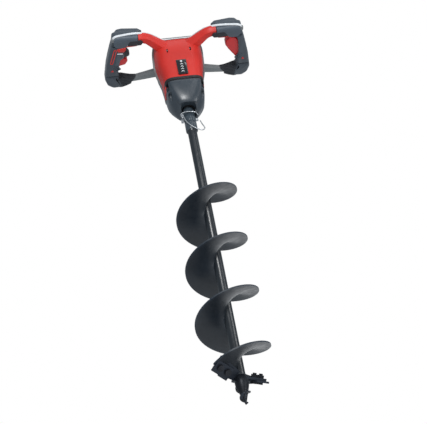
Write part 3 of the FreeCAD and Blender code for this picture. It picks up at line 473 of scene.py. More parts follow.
def turn_outward(editing):
    """Flip each connected shell whose enclosed volume comes out negative."""
    waiting = set(editing.faces)
    while waiting:
        front = [waiting.pop()]
        shell = []
        while front:
            face = front.pop()
            shell.append(face)
            for edge in face.edges:
                for other in edge.link_faces:
                    if other in waiting:
                        waiting.remove(other)
                        front.append(other)
        volume = sum(face.calc_center_median().dot(face.normal) * face.calc_area() for face in shell)
        if volume < 0:
            bmesh.ops.reverse_faces(editing, faces=shell)


def agree_normals(editing):
    """Neighbouring faces turned the same way round."""
    bmesh.ops.recalc_face_normals(editing, faces=editing.faces)


def join_and_turn(editing):
    """Coinciding points joined and all faces turned outward."""
    bmesh.ops.remove_doubles(editing, verts=editing.verts, dist=JOIN_GAP)
    agree_normals(editing)
    turn_outward(editing)


def split_to_triangles(editing, gap=0.02 * MM):
    """Points closer than a gap joined and every face split into triangles, ready to be cut."""
    bmesh.ops.remove_doubles(editing, verts=editing.verts[:], dist=gap)
    bmesh.ops.dissolve_degenerate(editing, edges=editing.edges[:], dist=gap)
    bmesh.ops.triangulate(editing, faces=editing.faces[:])


def raw_object(name, geometry):
    """An unfinished object from points in millimetres, normals outward."""
    points, faces = geometry
    mesh = bpy.data.meshes.new(name)
    mesh.from_pydata([(x * MM, y * MM, z * MM) for x, y, z in points], [], faces)
    edit_mesh(mesh, join_and_turn)
    return link(bpy.data.objects.new(name, mesh))


def carve(piece, cutters, kind="DIFFERENCE", crossing=False):
    """Cut (or add) closed geometries into a piece; crossing allows for faces that cross each other."""
    for number, geometry in enumerate(cutters):
        tool = raw_object("%s_tool_%d" % (piece.name, number), geometry)
        step = piece.modifiers.new("carve", "BOOLEAN")
        step.operation = kind
        step.solver = "EXACT"
        step.use_self = crossing
        step.object = tool
        apply_modifiers(piece)
        mesh = tool.data
        bpy.data.objects.remove(tool)
        bpy.data.meshes.remove(mesh)


def finished(piece, slot, replaced=(), body="power_head", bevel=0, segments=2, sharp=32, finish=None):
    """Bevel, shade, dress and attach a piece; finish names a material other than the slot's own."""
    if bevel:
        step = piece.modifiers.new("edges", "BEVEL")
        step.width = bevel * MM
        step.segments = segments
        step.limit_method = "ANGLE"
        step.angle_limit = math.radians(28)
        step.use_clamp_overlap = True
        apply_modifiers(piece)
    piece.data.shade_smooth()
    piece.data.set_sharp_from_angle(angle=math.radians(sharp))
    piece.data.materials.clear()
    piece.data.materials.append(finishes[finish or slot])
    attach(piece, body)
    if replaced:
        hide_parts(*replaced)


def piece(name, geometry, slot, replaced=(), cuts=(), **options):
    """A finished piece from closed geometry and the cutters taken out of it."""
    thing = raw_object(name, geometry)
    carve(thing, cuts)
    finished(thing, slot, replaced, **options)


def pair(name, geometry, slot, replaced=None, cuts=(), **options):
    """The same piece on both handles; name and replaced are how the names of pieces and CAD nodes end."""
    for side_name, side in SIDES:
        nodes = [side_name + replaced] if replaced else []
        side_cuts = [sided(cut, side) for cut in cuts]
        piece(side_name + name, sided(geometry, side), slot, nodes, side_cuts, **options)


def solidified(name, geometry, thickness):
    """A sheet given thickness towards its own middle, closed and with its normals outward."""
    thing = raw_object(name, geometry)
    mesh = thing.data
    middle = sum((vertex.co for vertex in mesh.vertices), Vector()) / len(mesh.vertices)
    outward = sum(face.area * face.normal.dot(face.center - middle) for face in mesh.polygons)
    step = thing.modifiers.new("wall", "SOLIDIFY")
    step.thickness = thickness * MM
    step.offset = -1 if outward > 0 else 1
    step.use_even_offset = True
    apply_modifiers(thing)
    edit_mesh(thing.data, agree_normals)
    return thing


def between(value, low, high):
    """0 below low, 1 above high, smooth between."""
    share = min(1, max(0, (value - low) / (high - low)))
    return share * share * (3 - 2 * share)


def table_value(table, place):
    """A value read from (place, value) pairs, straight between them."""
    for (low, first), (high, second) in zip(table, table[1:]):
        if place <= high:
            share = max(0, (place - low) / (high - low))
            return first + (second - first) * share
    return table[-1][1]


# ---------------------------------------------------------------- power head: shells
SPLIT = 8
BODY_TOP = 1000
WALL = 3
FRONT_SEAM, LEFT_SEAM, RIGHT_SEAM, REAR_SEAM = 861.5, 847, 859, 858
# places well clear of the housing, where cutters along Y end
FRONT_CLEAR, BACK_CLEAR = -60, 75
# height and value pairs of the body's outline
HALF_WIDTHS = ((846, 48.2), (870, 48.8), (905, 51.5), (930, 57), (955, 59.5), (985, 60), (1000, 58))
FRONT_DEPTHS = ((846, -45), (862, -48), (905, -50), (955, -51), (968, -50.5), (980, -48), (1000, -42.5))
BACK_DEPTHS = ((846, 44.5), (870, 47), (905, 52), (955, 60), (985, 62), (1000, 60))
SQUARENESS = ((846, 4.6), (905, 4.4), (955, 3.8), (1000, 3.6))
BODY_COLUMNS = 49
CORNER_CROWDING = 0.16
LEVELS = (0, 0.02, 0.06, 0.14, 0.24, 0.34, 0.42, 0.50, 0.58, 0.66, 0.72, 0.78, 0.83, 0.88, 0.93, 0.97, 1)
# how far each row of the lid is drawn in, and its height over the rim
LID_ROWS = ((0.975, -0.4), (0.93, 0), (0.5, 0), (0.05, 0))


def body_point(angle, height, depths):
    """A point of the body's outline; angle 0 is the right side of the split, pi the left side."""
    power = 2 / table_value(SQUARENESS, height)
    half = table_value(HALF_WIDTHS, height)
    reach = table_value(depths, height) - SPLIT
    across = math.copysign(abs(math.cos(angle)) ** power, math.cos(angle))
    return half * across, SPLIT + reach * abs(math.sin(angle)) ** power, height


def body_half(depths, bottom_at):
    """Half of the body: rows from its lower edge to the lid, then inwards over the lid."""
    angles = [math.pi * (1 - column / (BODY_COLUMNS - 1)) for column in range(BODY_COLUMNS)]
    # crowd the columns towards the squared corners
    angles = [angle + CORNER_CROWDING * math.sin(4 * angle) for angle in angles]
    rows = []
    for level in LEVELS:
        row = []
        for angle in angles:
            low = bottom_at(angle)
            row.append(body_point(angle, low + (BODY_TOP - low) * level, depths))
        rows.append(row)
    rim = rows[-1]
    for shrink, lift in LID_ROWS:
        rows.append([(x * shrink, SPLIT + (y - SPLIT) * shrink, z + lift) for x, y, z in rim])
    return sheet_grid(rows)


def front_edge(angle):
    """Lower edge of the front shell: level across the front, lower where it runs beside the bell."""
    side_edge = LEFT_SEAM if math.cos(angle) < 0 else RIGHT_SEAM
    return side_edge + (FRONT_SEAM - side_edge) * between(abs(math.sin(angle)), 0.22, 0.42)


ARM_PATH = (
    (34, -33, 987.5), (44, -41, 988.5), (62, -57.5, 989.3), (73, -66.5, 989.8), (84, -71.2, 989.8),
    (97, -72.6, 989.5))


def red_arm_section(share):
    """Faceted section of a front arm, deeper at its root."""
    half = 16.8 - 3.6 * between(share, 0, 0.55)
    deep = 15.5 - 1.5 * between(share, 0, 0.5)
    low = -deep - 2.5 * (1 - between(share, 0.15, 0.6))
    crown = deep * (0.76 - 0.32 * between(share, 0.05, 0.45))
    below = ((-1, -0.30 * deep), (-0.93, -0.55 * deep), (-0.62, 0.93 * low), (-0.50, low),
             (0.42, low), (0.58, 0.94 * low), (0.95, -0.40 * deep), (1, -0.20 * deep))
    above = ((1, 0.25), (0.92, 0.50), (0.66, 0.96), (0.52, 1), (-0.52, 1), (-0.66, 0.96),
             (-0.92, 0.68), (-1, 0.45))
    return ([(across * half, up) for across, up in below]
            + [(across * half, up * crown) for across, up in above])


def red_arm():
    """One front arm, right side, from inside the shell to the dark handle."""
    return loft(along(smooth_path(ARM_PATH, 7), red_arm_section))


SCREW_X, SCREW_HEIGHT = 28.4, 960
REAR_SCREW_X, REAR_SCREW_HEIGHT = 20, 874.5
RECESS_RADIUS, RECESS_TAIL, RECESS_TIP, RECESS_FLOOR = 2.6, 9.5, 0.9, -46


def teardrop(x):
    """A front screw's recess with a tail running down, as a cutter along Y."""
    outline = []
    for step in range(13):
        turn = math.radians(-20 + 220 * step / 12)
        outline.append((x + RECESS_RADIUS * math.cos(turn), SCREW_HEIGHT + RECESS_RADIUS * math.sin(turn)))
    outline += [(x - RECESS_TIP, SCREW_HEIGHT - RECESS_TAIL), (x + RECESS_TIP, SCREW_HEIGHT - RECESS_TAIL)]
    return prism(outline, FRONT_CLEAR, RECESS_FLOOR, "Y")


def make_front_shell():
    """The red front housing with its arms, one moulding."""
    shell = solidified("front_shell", body_half(FRONT_DEPTHS, front_edge), WALL)
    carve(shell, [red_arm(), mirrored(red_arm())], "UNION")
    carve(shell, [teardrop(SCREW_X), teardrop(-SCREW_X)])
    finished(shell, "red_plastic", ["front_housing"], sharp=30)


# x, front, back, low and high of a strut, from inside the housing to inside the sleeve
STRUT_RUN = (
    (44, 37, 57, 973, 992), (60, 40.5, 58.5, 974, 990.5), (84, 45.5, 62.5, 975, 988.8),
    (116, 51, 66.8, 976, 986.4))
STRUT_CORNER = 2.4
RIM_LOW, RIM_STEP, RIM_PROUD, RIM_LEAN = 862, 6, 4.4, 30


def strut():
    """A flat tapering strut, right side, from the rear shell to the sleeve."""
    return loft([ring_at(rounded_box(front, back, low, high, STRUT_CORNER, 3), x, "X")
                 for x, front, back, low, high in STRUT_RUN])


def rim_strip():
    """The raised grey rim beside the split, leaning forward under the arms, as a closed band on each side."""
    bands = []
    for side in (-1, 1):
        rings = []
        for height in range(RIM_LOW, int(BODY_TOP) + 1, RIM_STEP):
            lean = RIM_LEAN * between(height, 940, 1000) ** 1.4
            share = lean / (SPLIT - table_value(FRONT_DEPTHS, height))
            power = table_value(SQUARENESS, height)
            half = table_value(HALF_WIDTHS, height) * (1 - share ** power) ** (1 / power)
            proud = RIM_PROUD * between(height, 862, 925)
            section = ((-3, 0.6), (proud - 0.8, 0.4), (proud, 1.2), (proud, 4.6), (0.4, 8), (-3, 8))
            rings.append([(side * (half + out), SPLIT + back - lean, height) for out, back in section])
        bands.append(loft(rings))
    return bands


COOLING_ROWS, COOLING_LOW, COOLING_PITCH = 5, 893, 7
COOLING_INNER, COOLING_OUTER, COOLING_TALL, COOLING_RISE = 12, 34, 3, 2.5
COUNTERBORE = 4.4


def make_rear_shell():
    """The grey rear housing with its rim, struts, cooling slots, switch slot and screw counterbores."""
    shell = solidified("rear_shell", body_half(BACK_DEPTHS, lambda angle: REAR_SEAM), WALL)
    carve(shell, rim_strip() + [strut(), mirrored(strut())], "UNION")
    cuts = []
    for row in range(COOLING_ROWS):
        low = COOLING_LOW + COOLING_PITCH * row
        outline = [(COOLING_INNER, low), (COOLING_OUTER, low + COOLING_RISE),
                   (COOLING_OUTER, low + COOLING_RISE + COOLING_TALL), (COOLING_INNER, low + COOLING_TALL)]
        slot = prism(outline, 40, BACK_CLEAR, "Y")
        cuts += [mirrored(slot), slot]
    cuts.append(prism(rounded_box(-11.6, 11.6, 930.5, 939.5, 0), 44, BACK_CLEAR, "Y"))
    for x in (-REAR_SCREW_X, REAR_SCREW_X):
        cuts.append(prism(circle(COUNTERBORE, 12, x, REAR_SCREW_HEIGHT), 43.4, BACK_CLEAR, "Y"))
    carve(shell, cuts)
    finished(shell, "grey_plastic", ["rear_housing"], sharp=30)


# ---------------------------------------------------------------- power head: bell, seam, badge
# height, half width, front and back
BELL_LEVELS = (
    (872, 45.5, -47, 45), (866, 46, -47.6, 45.5), (858, 46.4, -47.6, 45.6), (845, 46.4, -46.4, 45.4),
    (830, 45.2, -45, 44.4), (815, 42.2, -42.4, 41.6), (803, 37.6, -38.4, 37.6), (793, 31.2, -32.4, 32),
    (787, 26, -27, 27), (785, 23.5, -24.5, 24.5))
SEAM_LEVELS = (
    (870, 47.2, -47, 46), (868, 48.4, -49.2, 47.2), (862, 48.6, -49.6, 47.4), (859.5, 48.2, -49.4, 47),
    (858.6, 46, -46.6, 45))
SEAM_INSIDE = (43, -43.5, 42.5)
# height, left edge, right edge and front of the bell's front panel
PANEL_LEVELS = (
    (857.5, -37, 38, -49.2), (848, -36, 37, -49), (832, -33, 34, -47.8), (815, -28.5, 29, -44.6),
    (803, -24.5, 25, -41), (795, -21.5, 22, -37))
# radius, low and high of the bores inside the bell: spindle, bearing seat, gear room
BELL_BORES = ((19.5, 780, 803), (21.6, 802, 832), (40, 829, 880))
MOUTH_HALF, MOUTH_SPRING, MOUTH_RISE, MOUTH_BOTTOM = 18.5, 792, 8, 775
# low, high, inner and outer edge of the pockets between the flank ribs
FLANK_POCKETS = ((836, 860, 38.6, 44.5), (810, 832, 34.5, 42.5))


def bell_ring(height, half, front, back, columns=64):
    """A squared ellipse at one height of the gearbox bell."""
    ring = []
    power = 2 / (2.2 + 2.6 * between(height, 800, 850))
    for column in range(columns):
        turn = 2 * math.pi * column / columns
        across, deep = math.cos(turn), math.sin(turn)
        reach = back if deep > 0 else -front
        ring.append((half * math.copysign(abs(across) ** power, across),
                     reach * math.copysign(abs(deep) ** power, deep), height))
    return ring


def bell_mouth():
    """The arched cut at the bell's front that shows the spindle."""
    outline = [(MOUTH_HALF, MOUTH_BOTTOM)]
    for step in range(13):
        turn = math.pi * step / 12
        outline.append((MOUTH_HALF * math.cos(turn), MOUTH_SPRING + MOUTH_RISE * math.sin(turn)))
    outline.append((-MOUTH_HALF, MOUTH_BOTTOM))
    return prism(outline, FRONT_CLEAR, -10, "Y")


def make_bell():
    """The gearbox bell: a squared cup with pockets between its flank ribs and a mouth for the spindle."""
    cuts = [prism(circle(radius, 48), low, high) for radius, low, high in BELL_BORES]
    cuts.append(bell_mouth())
    for side in (-1, 1):
        for low, high, inner, outer in FLANK_POCKETS:
            outline = rounded([(side * inner, low, 2), (side * outer, low + 2.5, 2),
                               (side * (outer + 1), (low + high) / 2, 2), (side * outer, high, 2),
                               (side * (inner + 1.5), high, 2)], 3)
            cuts.append(prism(outline, FRONT_CLEAR, -24, "Y"))
    bell = loft([bell_ring(*level) for level in BELL_LEVELS])
    piece("gearbox_cover", bell, "gearbox_slate", ["gearbox_bell"], cuts, bevel=0.7, sharp=34)


def make_bell_panel():
    """The raised smooth panel on the bell's front, wide at the seam and narrow at the spindle."""
    rows = []
    for height, left, right, front in PANEL_LEVELS:
        row = []
        for step in range(13):
            share = step / 12
            edge = abs(2 * share - 1)
            back = 2.6 * edge ** 4 + (3 * edge ** 2 if height < 840 else 0)
            row.append((left + (right - left) * share, front + back, height))
        rows.append(row)
    panel = solidified("gearbox_front_panel", sheet_grid(rows), 4)
    finished(panel, "gearbox_slate", bevel=0.8, sharp=40)


def make_seam():
    """The dark vented band between the shell and the bell, with a row of small teeth."""
    cuts = [loft([bell_ring(height, *SEAM_INSIDE) for height in (850, 880)])]
    for step in range(-10, 11):
        x = 4.2 * step
        cuts.append(prism(rounded_box(x - 0.9, x + 0.9, 858, 861.6, 0), FRONT_CLEAR, -47.4, "Y"))
    band = loft([bell_ring(*level) for level in SEAM_LEVELS])
    piece("seam_band", band, "vent_black", ["vent_ring"], cuts, sharp=34)


BADGE_OUTLINE = ((-12, 873.5, 2.2), (12, 873.5, 2.2), (12.6, 921, 2.2), (-12.6, 921, 2.2))
MARK_FRONT, MARK_BACK = -52.4, -51.8


def make_badge():
    """The black name plate with plain raised chevrons and a hexagon instead of lettering."""
    plate = prism(rounded(BADGE_OUTLINE), -52, -48.6, "Y")
    piece("badge_plate", plate, "badge_black", ["name_badge"], bevel=0.5)
    outlines = [circle(3.2, 6, 0, 915)]
    for number in range(4):
        low = 879 + 8 * number
        outlines.append([(-3.4, low), (0, low + 3.4), (3.4, low), (3.4, low + 2.2), (0, low + 5.6),
                         (-3.4, low + 2.2)])
    marks = merged(*[prism(outline, MARK_FRONT, MARK_BACK, "Y") for outline in outlines])
    piece("badge_marks", marks, "badge_black", finish="badge_mark")


# ---------------------------------------------------------------- handles
def inset(outline, distance):
    """An outline moved inwards along its corner bisectors, its folded edges drawn together."""
    area = sum(a[0] * b[1] - b[0] * a[1] for a, b in zip(outline, outline[1:] + outline[:1]))
    turn = 1 if area > 0 else -1
    points = [Vector(point) for point in outline]
    count = len(points)
    moved = []
    for index, here in enumerate(points):
        first = (here - points[index - 1]).normalized()
        last = (points[(index + 1) % count] - here).normalized()
        normal = Vector((-(first.y + last.y), first.x + last.x)) * turn
        normal.normalize()
        square = max(0.5, abs(normal.dot(Vector((-first.y, first.x)))))
        moved.append(here + normal * (distance / square))
    for _ in range(12):
        for index in range(count):
            after = (index + 1) % count
            along_edge = points[after] - points[index]
            if (moved[after] - moved[index]).dot(along_edge) < 0:
                middle = (moved[after] + moved[index]) / 2
                moved[index], moved[after] = middle.copy(), middle.copy()
    return [(point.x, point.y) for point in moved]


def pillow(outline, low, high, edge, axis="Z", rise=None, steps=4):
    """A flat outline raised to a body whose upper and lower rims are rounded over."""
    rise = edge if rise is None else rise
    stages = []
    for step in range(steps + 1):
        turn = math.pi / 2 * step / steps
        stages.append((edge * (1 - math.sin(turn)), low + rise * (1 - math.cos(turn))))
    stages += [(distance, low + high - level) for distance, level in reversed(stages)]
    return loft([ring_at(inset(outline, distance), level, axis) for distance, level in stages])


def ring_prism(outer, inner, low, high):
    """A closed band between two outlines of equal length."""
    corners = ((outer, low), (outer, high), (inner, high), (inner, low), (outer, low))
    return loft([ring_at(outline, level) for outline, level in corners], capped=False)


def stadium(first, last, radius, count=8):
    """A long rounded slot outline between two plan points."""
    a, b = Vector(first), Vector(last)
    forward = (b - a).normalized()
    square = Vector((-forward.y, forward.x))
    outline = []
    for centre, start in ((b, -90), (a, 90)):
        for step in range(count + 1):
            turn = math.radians(start + 180 * step / count)
            point = centre + forward * radius * math.cos(turn) + square * radius * math.sin(turn)
            outline.append((point.x, point.y))
    return outline


# right-hand outlines as x, y and corner radius
ARM_OUTLINE = (
    (96.5, -86.6, 1.5), (130, -88.3, 0), (151, -88.8, 5), (159.6, -85.5, 6), (161.6, -69, 5),
    (163.2, -61.5, 1), (137.5, -55.5, 6), (126, -59.2, 8), (96.5, -58.8, 1.5))
# x, height and corner radius
PAD_OUTLINE = (
    (85, 1001, 2), (95, 1010, 6), (134, 1014.8, 14), (147, 1012.8, 8), (157, 999, 3), (150, 996, 1),
    (90, 996, 1))
WEDGE_OUTLINE = (
    (84.5, -70, 2), (90, -76.5, 2), (116.5, -77, 3), (124, -66, 3), (123, -61.8, 1), (103, -60.8, 2),
    (90, -61.5, 2))
STRIP_PATH = ((101, -59.6, 975.2), (112, -59.4, 974.8), (125, -59.2, 974.6), (133, -56.2, 974.6))
STRIP_RADIUS = 1.5
# x and rear edge of the plate under the arm
PLATE_RUN = (
    (98, -75), (106, -75), (115.5, -75), (119, -71), (123, -64), (128, -57.5), (138, -55.5),
    (148, -56.5), (153, -60), (156.5, -66))


def make_arms():
    """The dark outer half of each arm, its top pad, the rubber wedge under it and a thin red strip."""
    core = pillow(rounded(ARM_OUTLINE), 974.6, 1003.6, 6.5, rise=6)
    pair("_arm_core", core, "dark_overmould", "_front_arm", sharp=38)
    pad = pillow(rounded(PAD_OUTLINE), -86.2, -61, 4.5, axis="Y")
    pair("_top_pad", pad, "dark_overmould", sharp=38)
    wedge = pillow(rounded(WEDGE_OUTLINE), 972.6, 977.5, 1)
    pair("_wedge", wedge, "black_rubber", sharp=38)
    strip = loft(along(smooth_path(STRIP_PATH, 8), lambda share: circle(STRIP_RADIUS, 10)))
    pair("_red_strip", strip, "red_plastic")


def make_arm_plates():
    """The smoother plate that wraps the front and the underside of each arm."""
    rows = []
    for x, back in PLATE_RUN:
        face = -87.4 - 1.7 * between(x, 96, 135)
        rows.append([(x, face + 0.6, 985), (x, face - 0.4, 983.6), (x, face - 0.5, 979.5),
                     (x, face + 1.6, 975.4), (x, face + 5, 973.2), (x, 0.5 * (face + 5 + back), 972.9),
                     (x, back - 1.2, 973.1), (x, back, 974.6)])
    for side_name, side in SIDES:
        plate = solidified(side_name + "_arm_plate", sided(sheet_grid(rows), side), 2)
        finished(plate, "dark_overmould", sharp=40, finish="cover_slate")


GRIP_OUTER = ((163.2, -62.5, 1), (167, -48.5, 8), (173, -22, 20), (178.5, 5, 20), (182, 32, 8), (183, 41, 1))
GRIP_INNER_LEFT = (
    (151.5, 41, 1), (148.5, 22, 6), (146.5, 8, 6), (142, -12, 4), (133, -19, 4), (131.5, -32, 4),
    (134, -50, 6), (137, -57, 1))
GRIP_INNER_RIGHT = (
    (151.5, 41, 1), (147.5, 22, 6), (143.5, 10, 6), (141, -8, 8), (139, -30, 8), (137.5, -50, 6),
    (137, -57, 1))
POCKET = ((118, -54), (157, -54), (161, -37), (169, -31), (169, 27), (118, 27))
PADDLE_RECESS = ((120, -54.5, 0), (153, -54.5, 4), (161.2, -42, 8), (164.5, 5, 6), (160, 26, 6), (120, 26, 0))
PADDLE_OPENING = ((120, -55.5, 0), (148, -55.5, 4), (151.5, -42, 8), (154, 5, 6), (151, 26, 6), (120, 26, 0))
CORNER_OUTLINE = (
    (183, 39.6, 1), (184.5, 54, 8), (179, 73, 14), (165, 83.5, 12), (147, 82.5, 4), (140, 80.5, 1),
    (141, 66, 4), (143.5, 56.5, 3), (150, 50.5, 4), (151.2, 39.6, 1))


def make_grips():
    """The upright grips with the pockets that the trigger and the paddle move in."""
    pocket = prism(POCKET, 980.5, 997.5)
    paddle_room = [prism(rounded(PADDLE_RECESS), 975.6, 998.6), prism(rounded(PADDLE_OPENING), 960, 998)]
    for (side_name, side), inner, room in zip(SIDES, (GRIP_INNER_LEFT, GRIP_INNER_RIGHT), ([], paddle_room)):
        body = pillow(rounded(GRIP_OUTER + inner), 972.8, 1005.2, 8, rise=7.5)
        grip = raw_object(side_name + "_grip_shell", sided(body, side))
        edit_mesh(grip.data, split_to_triangles)
        carve(grip, room + [sided(pocket, side)], crossing=True)
        finished(grip, "dark_overmould", [side_name + "_grip"], sharp=38)


def make_corners():
    """The rounded corner between each grip and its sleeve."""
    corner = pillow(rounded(CORNER_OUTLINE), 973, 1005, 7.5, rise=7)
    pair("_corner", corner, "dark_overmould", "_corner_sleeve", sharp=38)


# x, front, back, low and high of the ribbed sleeve, from the corner to its tip
SLEEVE_RUN = (
    (150, 52.5, 82, 973.6, 1001), (143, 50, 82.2, 973.4, 998.5), (130, 49.4, 78, 973.8, 993),
    (119, 49.2, 73, 974.4, 989.5), (111, 49.2, 68.8, 974.8, 987.6), (107, 49.2, 68.6, 975, 987.4))
SLEEVE_FRONT = 49.2
TIP_X, TIP_SLANT = 107, 0.62
GROOVE_NEAR, GROOVE_FAR = 100, 153


def make_sleeves():
    """The rubber sleeve round each strut's end, grooved below and in front, with a toothed slanting tip."""
    rings = []
    for number, (x, front, back, low, high) in enumerate(SLEEVE_RUN):
        radius = 4.5 if x > 112 else 3
        slant = TIP_SLANT if number >= 4 else 0
        section = rounded_box(front, back, low, high, radius, 4)
        rings.append([(x + slant * max(0, y - SLEEVE_FRONT), y, z) for y, z in section])
    cuts = []
    for number in range(7):
        y = 47 + 5.4 * number
        outline = [(GROOVE_NEAR, y + 1), (GROOVE_FAR, y - 2), (GROOVE_FAR, y - 0.8), (GROOVE_NEAR, y + 2.2)]
        cuts.append(prism(outline, 960, 974.7))
    for number in range(5):
        z = 976.5 + 4 * number
        outline = [(GROOVE_NEAR, z - 0.2 * number), (GROOVE_FAR, z + 0.5 * number),
                   (GROOVE_FAR, z + 1.2 + 0.5 * number), (GROOVE_NEAR, z + 1 - 0.2 * number)]
        cuts.append(prism(outline, 30, 51, "Y"))
    notches = []
    for number in range(4):
        y = 51.5 + 4.6 * number
        x = TIP_X + TIP_SLANT * (y - SLEEVE_FRONT)
        notches.append(prism([(x - 4, y - 2.3), (x + 3.4, y + 0.4), (x - 4, y + 2.3)], 960, 1000))
    cuts.append(merged(*notches))
    pair("_ribbed_sleeve", loft(rings), "black_rubber", cuts=cuts, sharp=34)


RIB_RUN = (
    (160, -85.5, 976.5), (155.5, -89.6, 978.6), (148, -91, 981), (126, -91, 984.2), (104, -89.6, 986.8),
    (90, -85, 990.6), (81, -81, 992.8), (72, -77, 994.9), (65, -73, 996.3), (53, -62.8, 998),
    (43, -53.5, 998.8), (36, -47, 999.6), (24, -43.6, 1001.2), (0, -43, 1001.8))
RIB_CHAMFER = 0.6
LUG_OUTLINE = ((154.5, 973.5, 1), (162.5, 972.5, 1.5), (162.5, 979.5, 1.5), (156, 981, 1))


def rib_section(share):
    """The silver rib: a tall strip on the handle, thinning out towards the dock."""
    half = 1.5 - 0.4 * between(share, 0.45, 0.7)
    tall = 3 - 1.6 * between(share, 0.42, 0.68)
    narrow, short = half - RIB_CHAMFER, tall - RIB_CHAMFER
    return [(-half, -short), (-narrow, -tall), (narrow, -tall), (half, -short),
            (half, short), (narrow, tall), (-narrow, tall), (-half, short)]


def make_trims():
    """Silver ribs along both arms and the grey lugs at their outer ends. The ribs' pale silver is partly
    their trim colour and partly a painted highlight along their tops.
    """
    rib = loft(along(smooth_path(RIB_RUN, 6), rib_section))
    # the ribs' pale silver is partly a painted highlight along their tops
    piece("silver_ribs", merged(mirrored(rib), rib), "silver_trim", ["silver_trims"], sharp=40)
    lug = pillow(rounded(LUG_OUTLINE), -89, -78, 1.2, axis="Y")
    piece("rib_lugs", merged(mirrored(lug), lug), "grey_plastic", sharp=40)


# ---------------------------------------------------------------- triggers, button and the marks beside them
TRIGGER_OUTLINE = (
    (157.5, 21.5, 3), (150, 21.5, 2), (145.5, 12, 3), (131.5, 8.5, 5), (124.5, -3, 6), (126.5, -10.4, 3),
    (157.5, -13.8, 1))
PADDLE_OUTLINE = (
    (157.5, 21.5, 3), (149, 20, 3), (142.5, 9, 5), (129, -11, 12), (119.8, -28, 8), (121.5, -41, 6),
    (131.5, -53, 4), (146, -49.5, 4), (152.6, -40, 6), (160.5, 6, 4))
BUTTON_OUTLINE = (
    (154.5, -15.6, 1), (129, -15.6, 3), (119.6, -21, 4), (118.9, -28, 4), (124.5, -37, 4),
    (154.5, -37.5, 1))
LEVER_LOW, LEVER_HIGH = 981.2, 996.8
PIN_X, PIN_Y, PIN_HOLE = 154, 17, 2.1
BUTTON_BORE, BUTTON_Y, BUTTON_HEIGHT = 4.3, -26, 989


def make_levers():
    """The left trigger, the right paddle and the lock-off button."""
    pin_hole = prism(circle(PIN_HOLE, 16, PIN_X, PIN_Y), 970, 1010)
    trigger = pillow(rounded(TRIGGER_OUTLINE), LEVER_LOW, LEVER_HIGH, 1.6)
    piece("trigger_lever", mirrored(trigger), "trigger_red", ["left_trigger"], [mirrored(pin_hole)],
          body="left_trigger", sharp=38)
    paddle = pillow(rounded(PADDLE_OUTLINE), 976.4, 997, 3)
    piece("paddle_lever", paddle, "trigger_red", ["right_paddle"], [pin_hole], body="right_paddle", sharp=38)
    button = pillow(rounded(BUTTON_OUTLINE), LEVER_LOW, LEVER_HIGH, 2.4)
    spring_bore = prism(circle(BUTTON_BORE, 20, BUTTON_Y, BUTTON_HEIGHT), -160, -144.5, "X")
    piece("lock_button", mirrored(button), "button_black", ["left_lock_button"], [spring_bore],
          body="left_lock_button", sharp=38)


GUARD_OUTLINE = ((128, -58, 2), (151, -54.5, 2), (148, -45, 3), (133, -43, 3), (128, -50, 3))
PANEL_OUTLINE = ((151, -36, 2), (141, -34, 2), (144.5, -12, 3), (148, 2, 2), (158, 0, 2))
# outline of the pale bar that paints in the highlight on the direction selector
BAR_OUTLINE = ((136, -39.5, 1), (150, -41.5, 1), (150.4, -38.9, 1), (136.4, -36.9, 1))
TRIANGLE_OUTLINE = ((163.5, 15, 0.6), (169, 21.5, 0.6), (161.5, 22.5, 0.6))
SLOT_ENDS = ((154.6, -50), (165.4, -9))
SLOT_OUTER, SLOT_INNER = 3.7, 1.9
# the grips' undersides are at 972.8; marks start just below it and end inside the grip
MARK_LOW, MARK_HIGH = 971.9, 976


def make_left_marks():
    """Raised plain marks under the left grip: guard, slot outline, panel, and a pale bar that is a painted
    highlight on the direction selector.
    """
    guard = pillow(rounded(GUARD_OUTLINE), 971.6, 980, 1.6)
    piece("left_guard", mirrored(guard), "red_plastic")
    slot = ring_prism(stadium(*SLOT_ENDS, SLOT_OUTER), stadium(*SLOT_ENDS, SLOT_INNER), MARK_LOW, MARK_HIGH)
    piece("left_slot_outline", mirrored(slot), "red_plastic")
    panel = pillow(rounded(PANEL_OUTLINE), MARK_LOW, MARK_HIGH, 0.8)
    piece("left_panel", mirrored(panel), "dark_overmould", finish="cover_slate")
    # painted highlight: a pale silver bar stands for the highlight on the direction selector
    bar = pillow(rounded(BAR_OUTLINE), 970.9, MARK_HIGH, 0.6)
    piece("left_painted_highlight_bar", mirrored(bar), "silver_trim")


def make_grip_marks():
    """Four short ribs and a red triangle under each grip."""
    ribs = []
    for number in range(4):
        x, y = 158 - 2.6 * number, 4.5 + 4.2 * number
        ribs.append(pillow(stadium((x - 6, y - 2.5), (x + 5, y + 2.2), 0.9), MARK_LOW, MARK_HIGH, 0.4))
    pair("_grip_ribs", merged(*ribs), "dark_overmould", finish="cover_slate")
    pair("_triangle", pillow(rounded(TRIANGLE_OUTLINE, 2), 972, MARK_HIGH, 0.5), "red_plastic")


# ---------------------------------------------------------------- small fittings
# x, height, seat, tip, head radius and head thickness of the two front and two rear screws
SCREWS = (
    (-SCREW_X, SCREW_HEIGHT, -47.6, -6, 2.5, 1.2), (SCREW_X, SCREW_HEIGHT, -47.6, -6, 2.5, 1.2),
    (-REAR_SCREW_X, REAR_SCREW_HEIGHT, 43.6, 28, 4, 1.7),
    (REAR_SCREW_X, REAR_SCREW_HEIGHT, 43.6, 28, 4, 1.7))


def cross_head(x, height, seat, tip, radius, thick):
    """A domed screw head with its shank, along Y."""
    outward = math.copysign(1, seat - tip)
    profile = ((0.55 * radius, thick), (0.86 * radius, 0.72 * thick), (radius, 0.3 * thick), (radius, 0),
               (0.5 * radius, -0.2), (0.5 * radius, -abs(seat - tip)))
    return loft([ring_at(circle(size, 20, x, height), seat + outward * out, "Y") for size, out in profile])


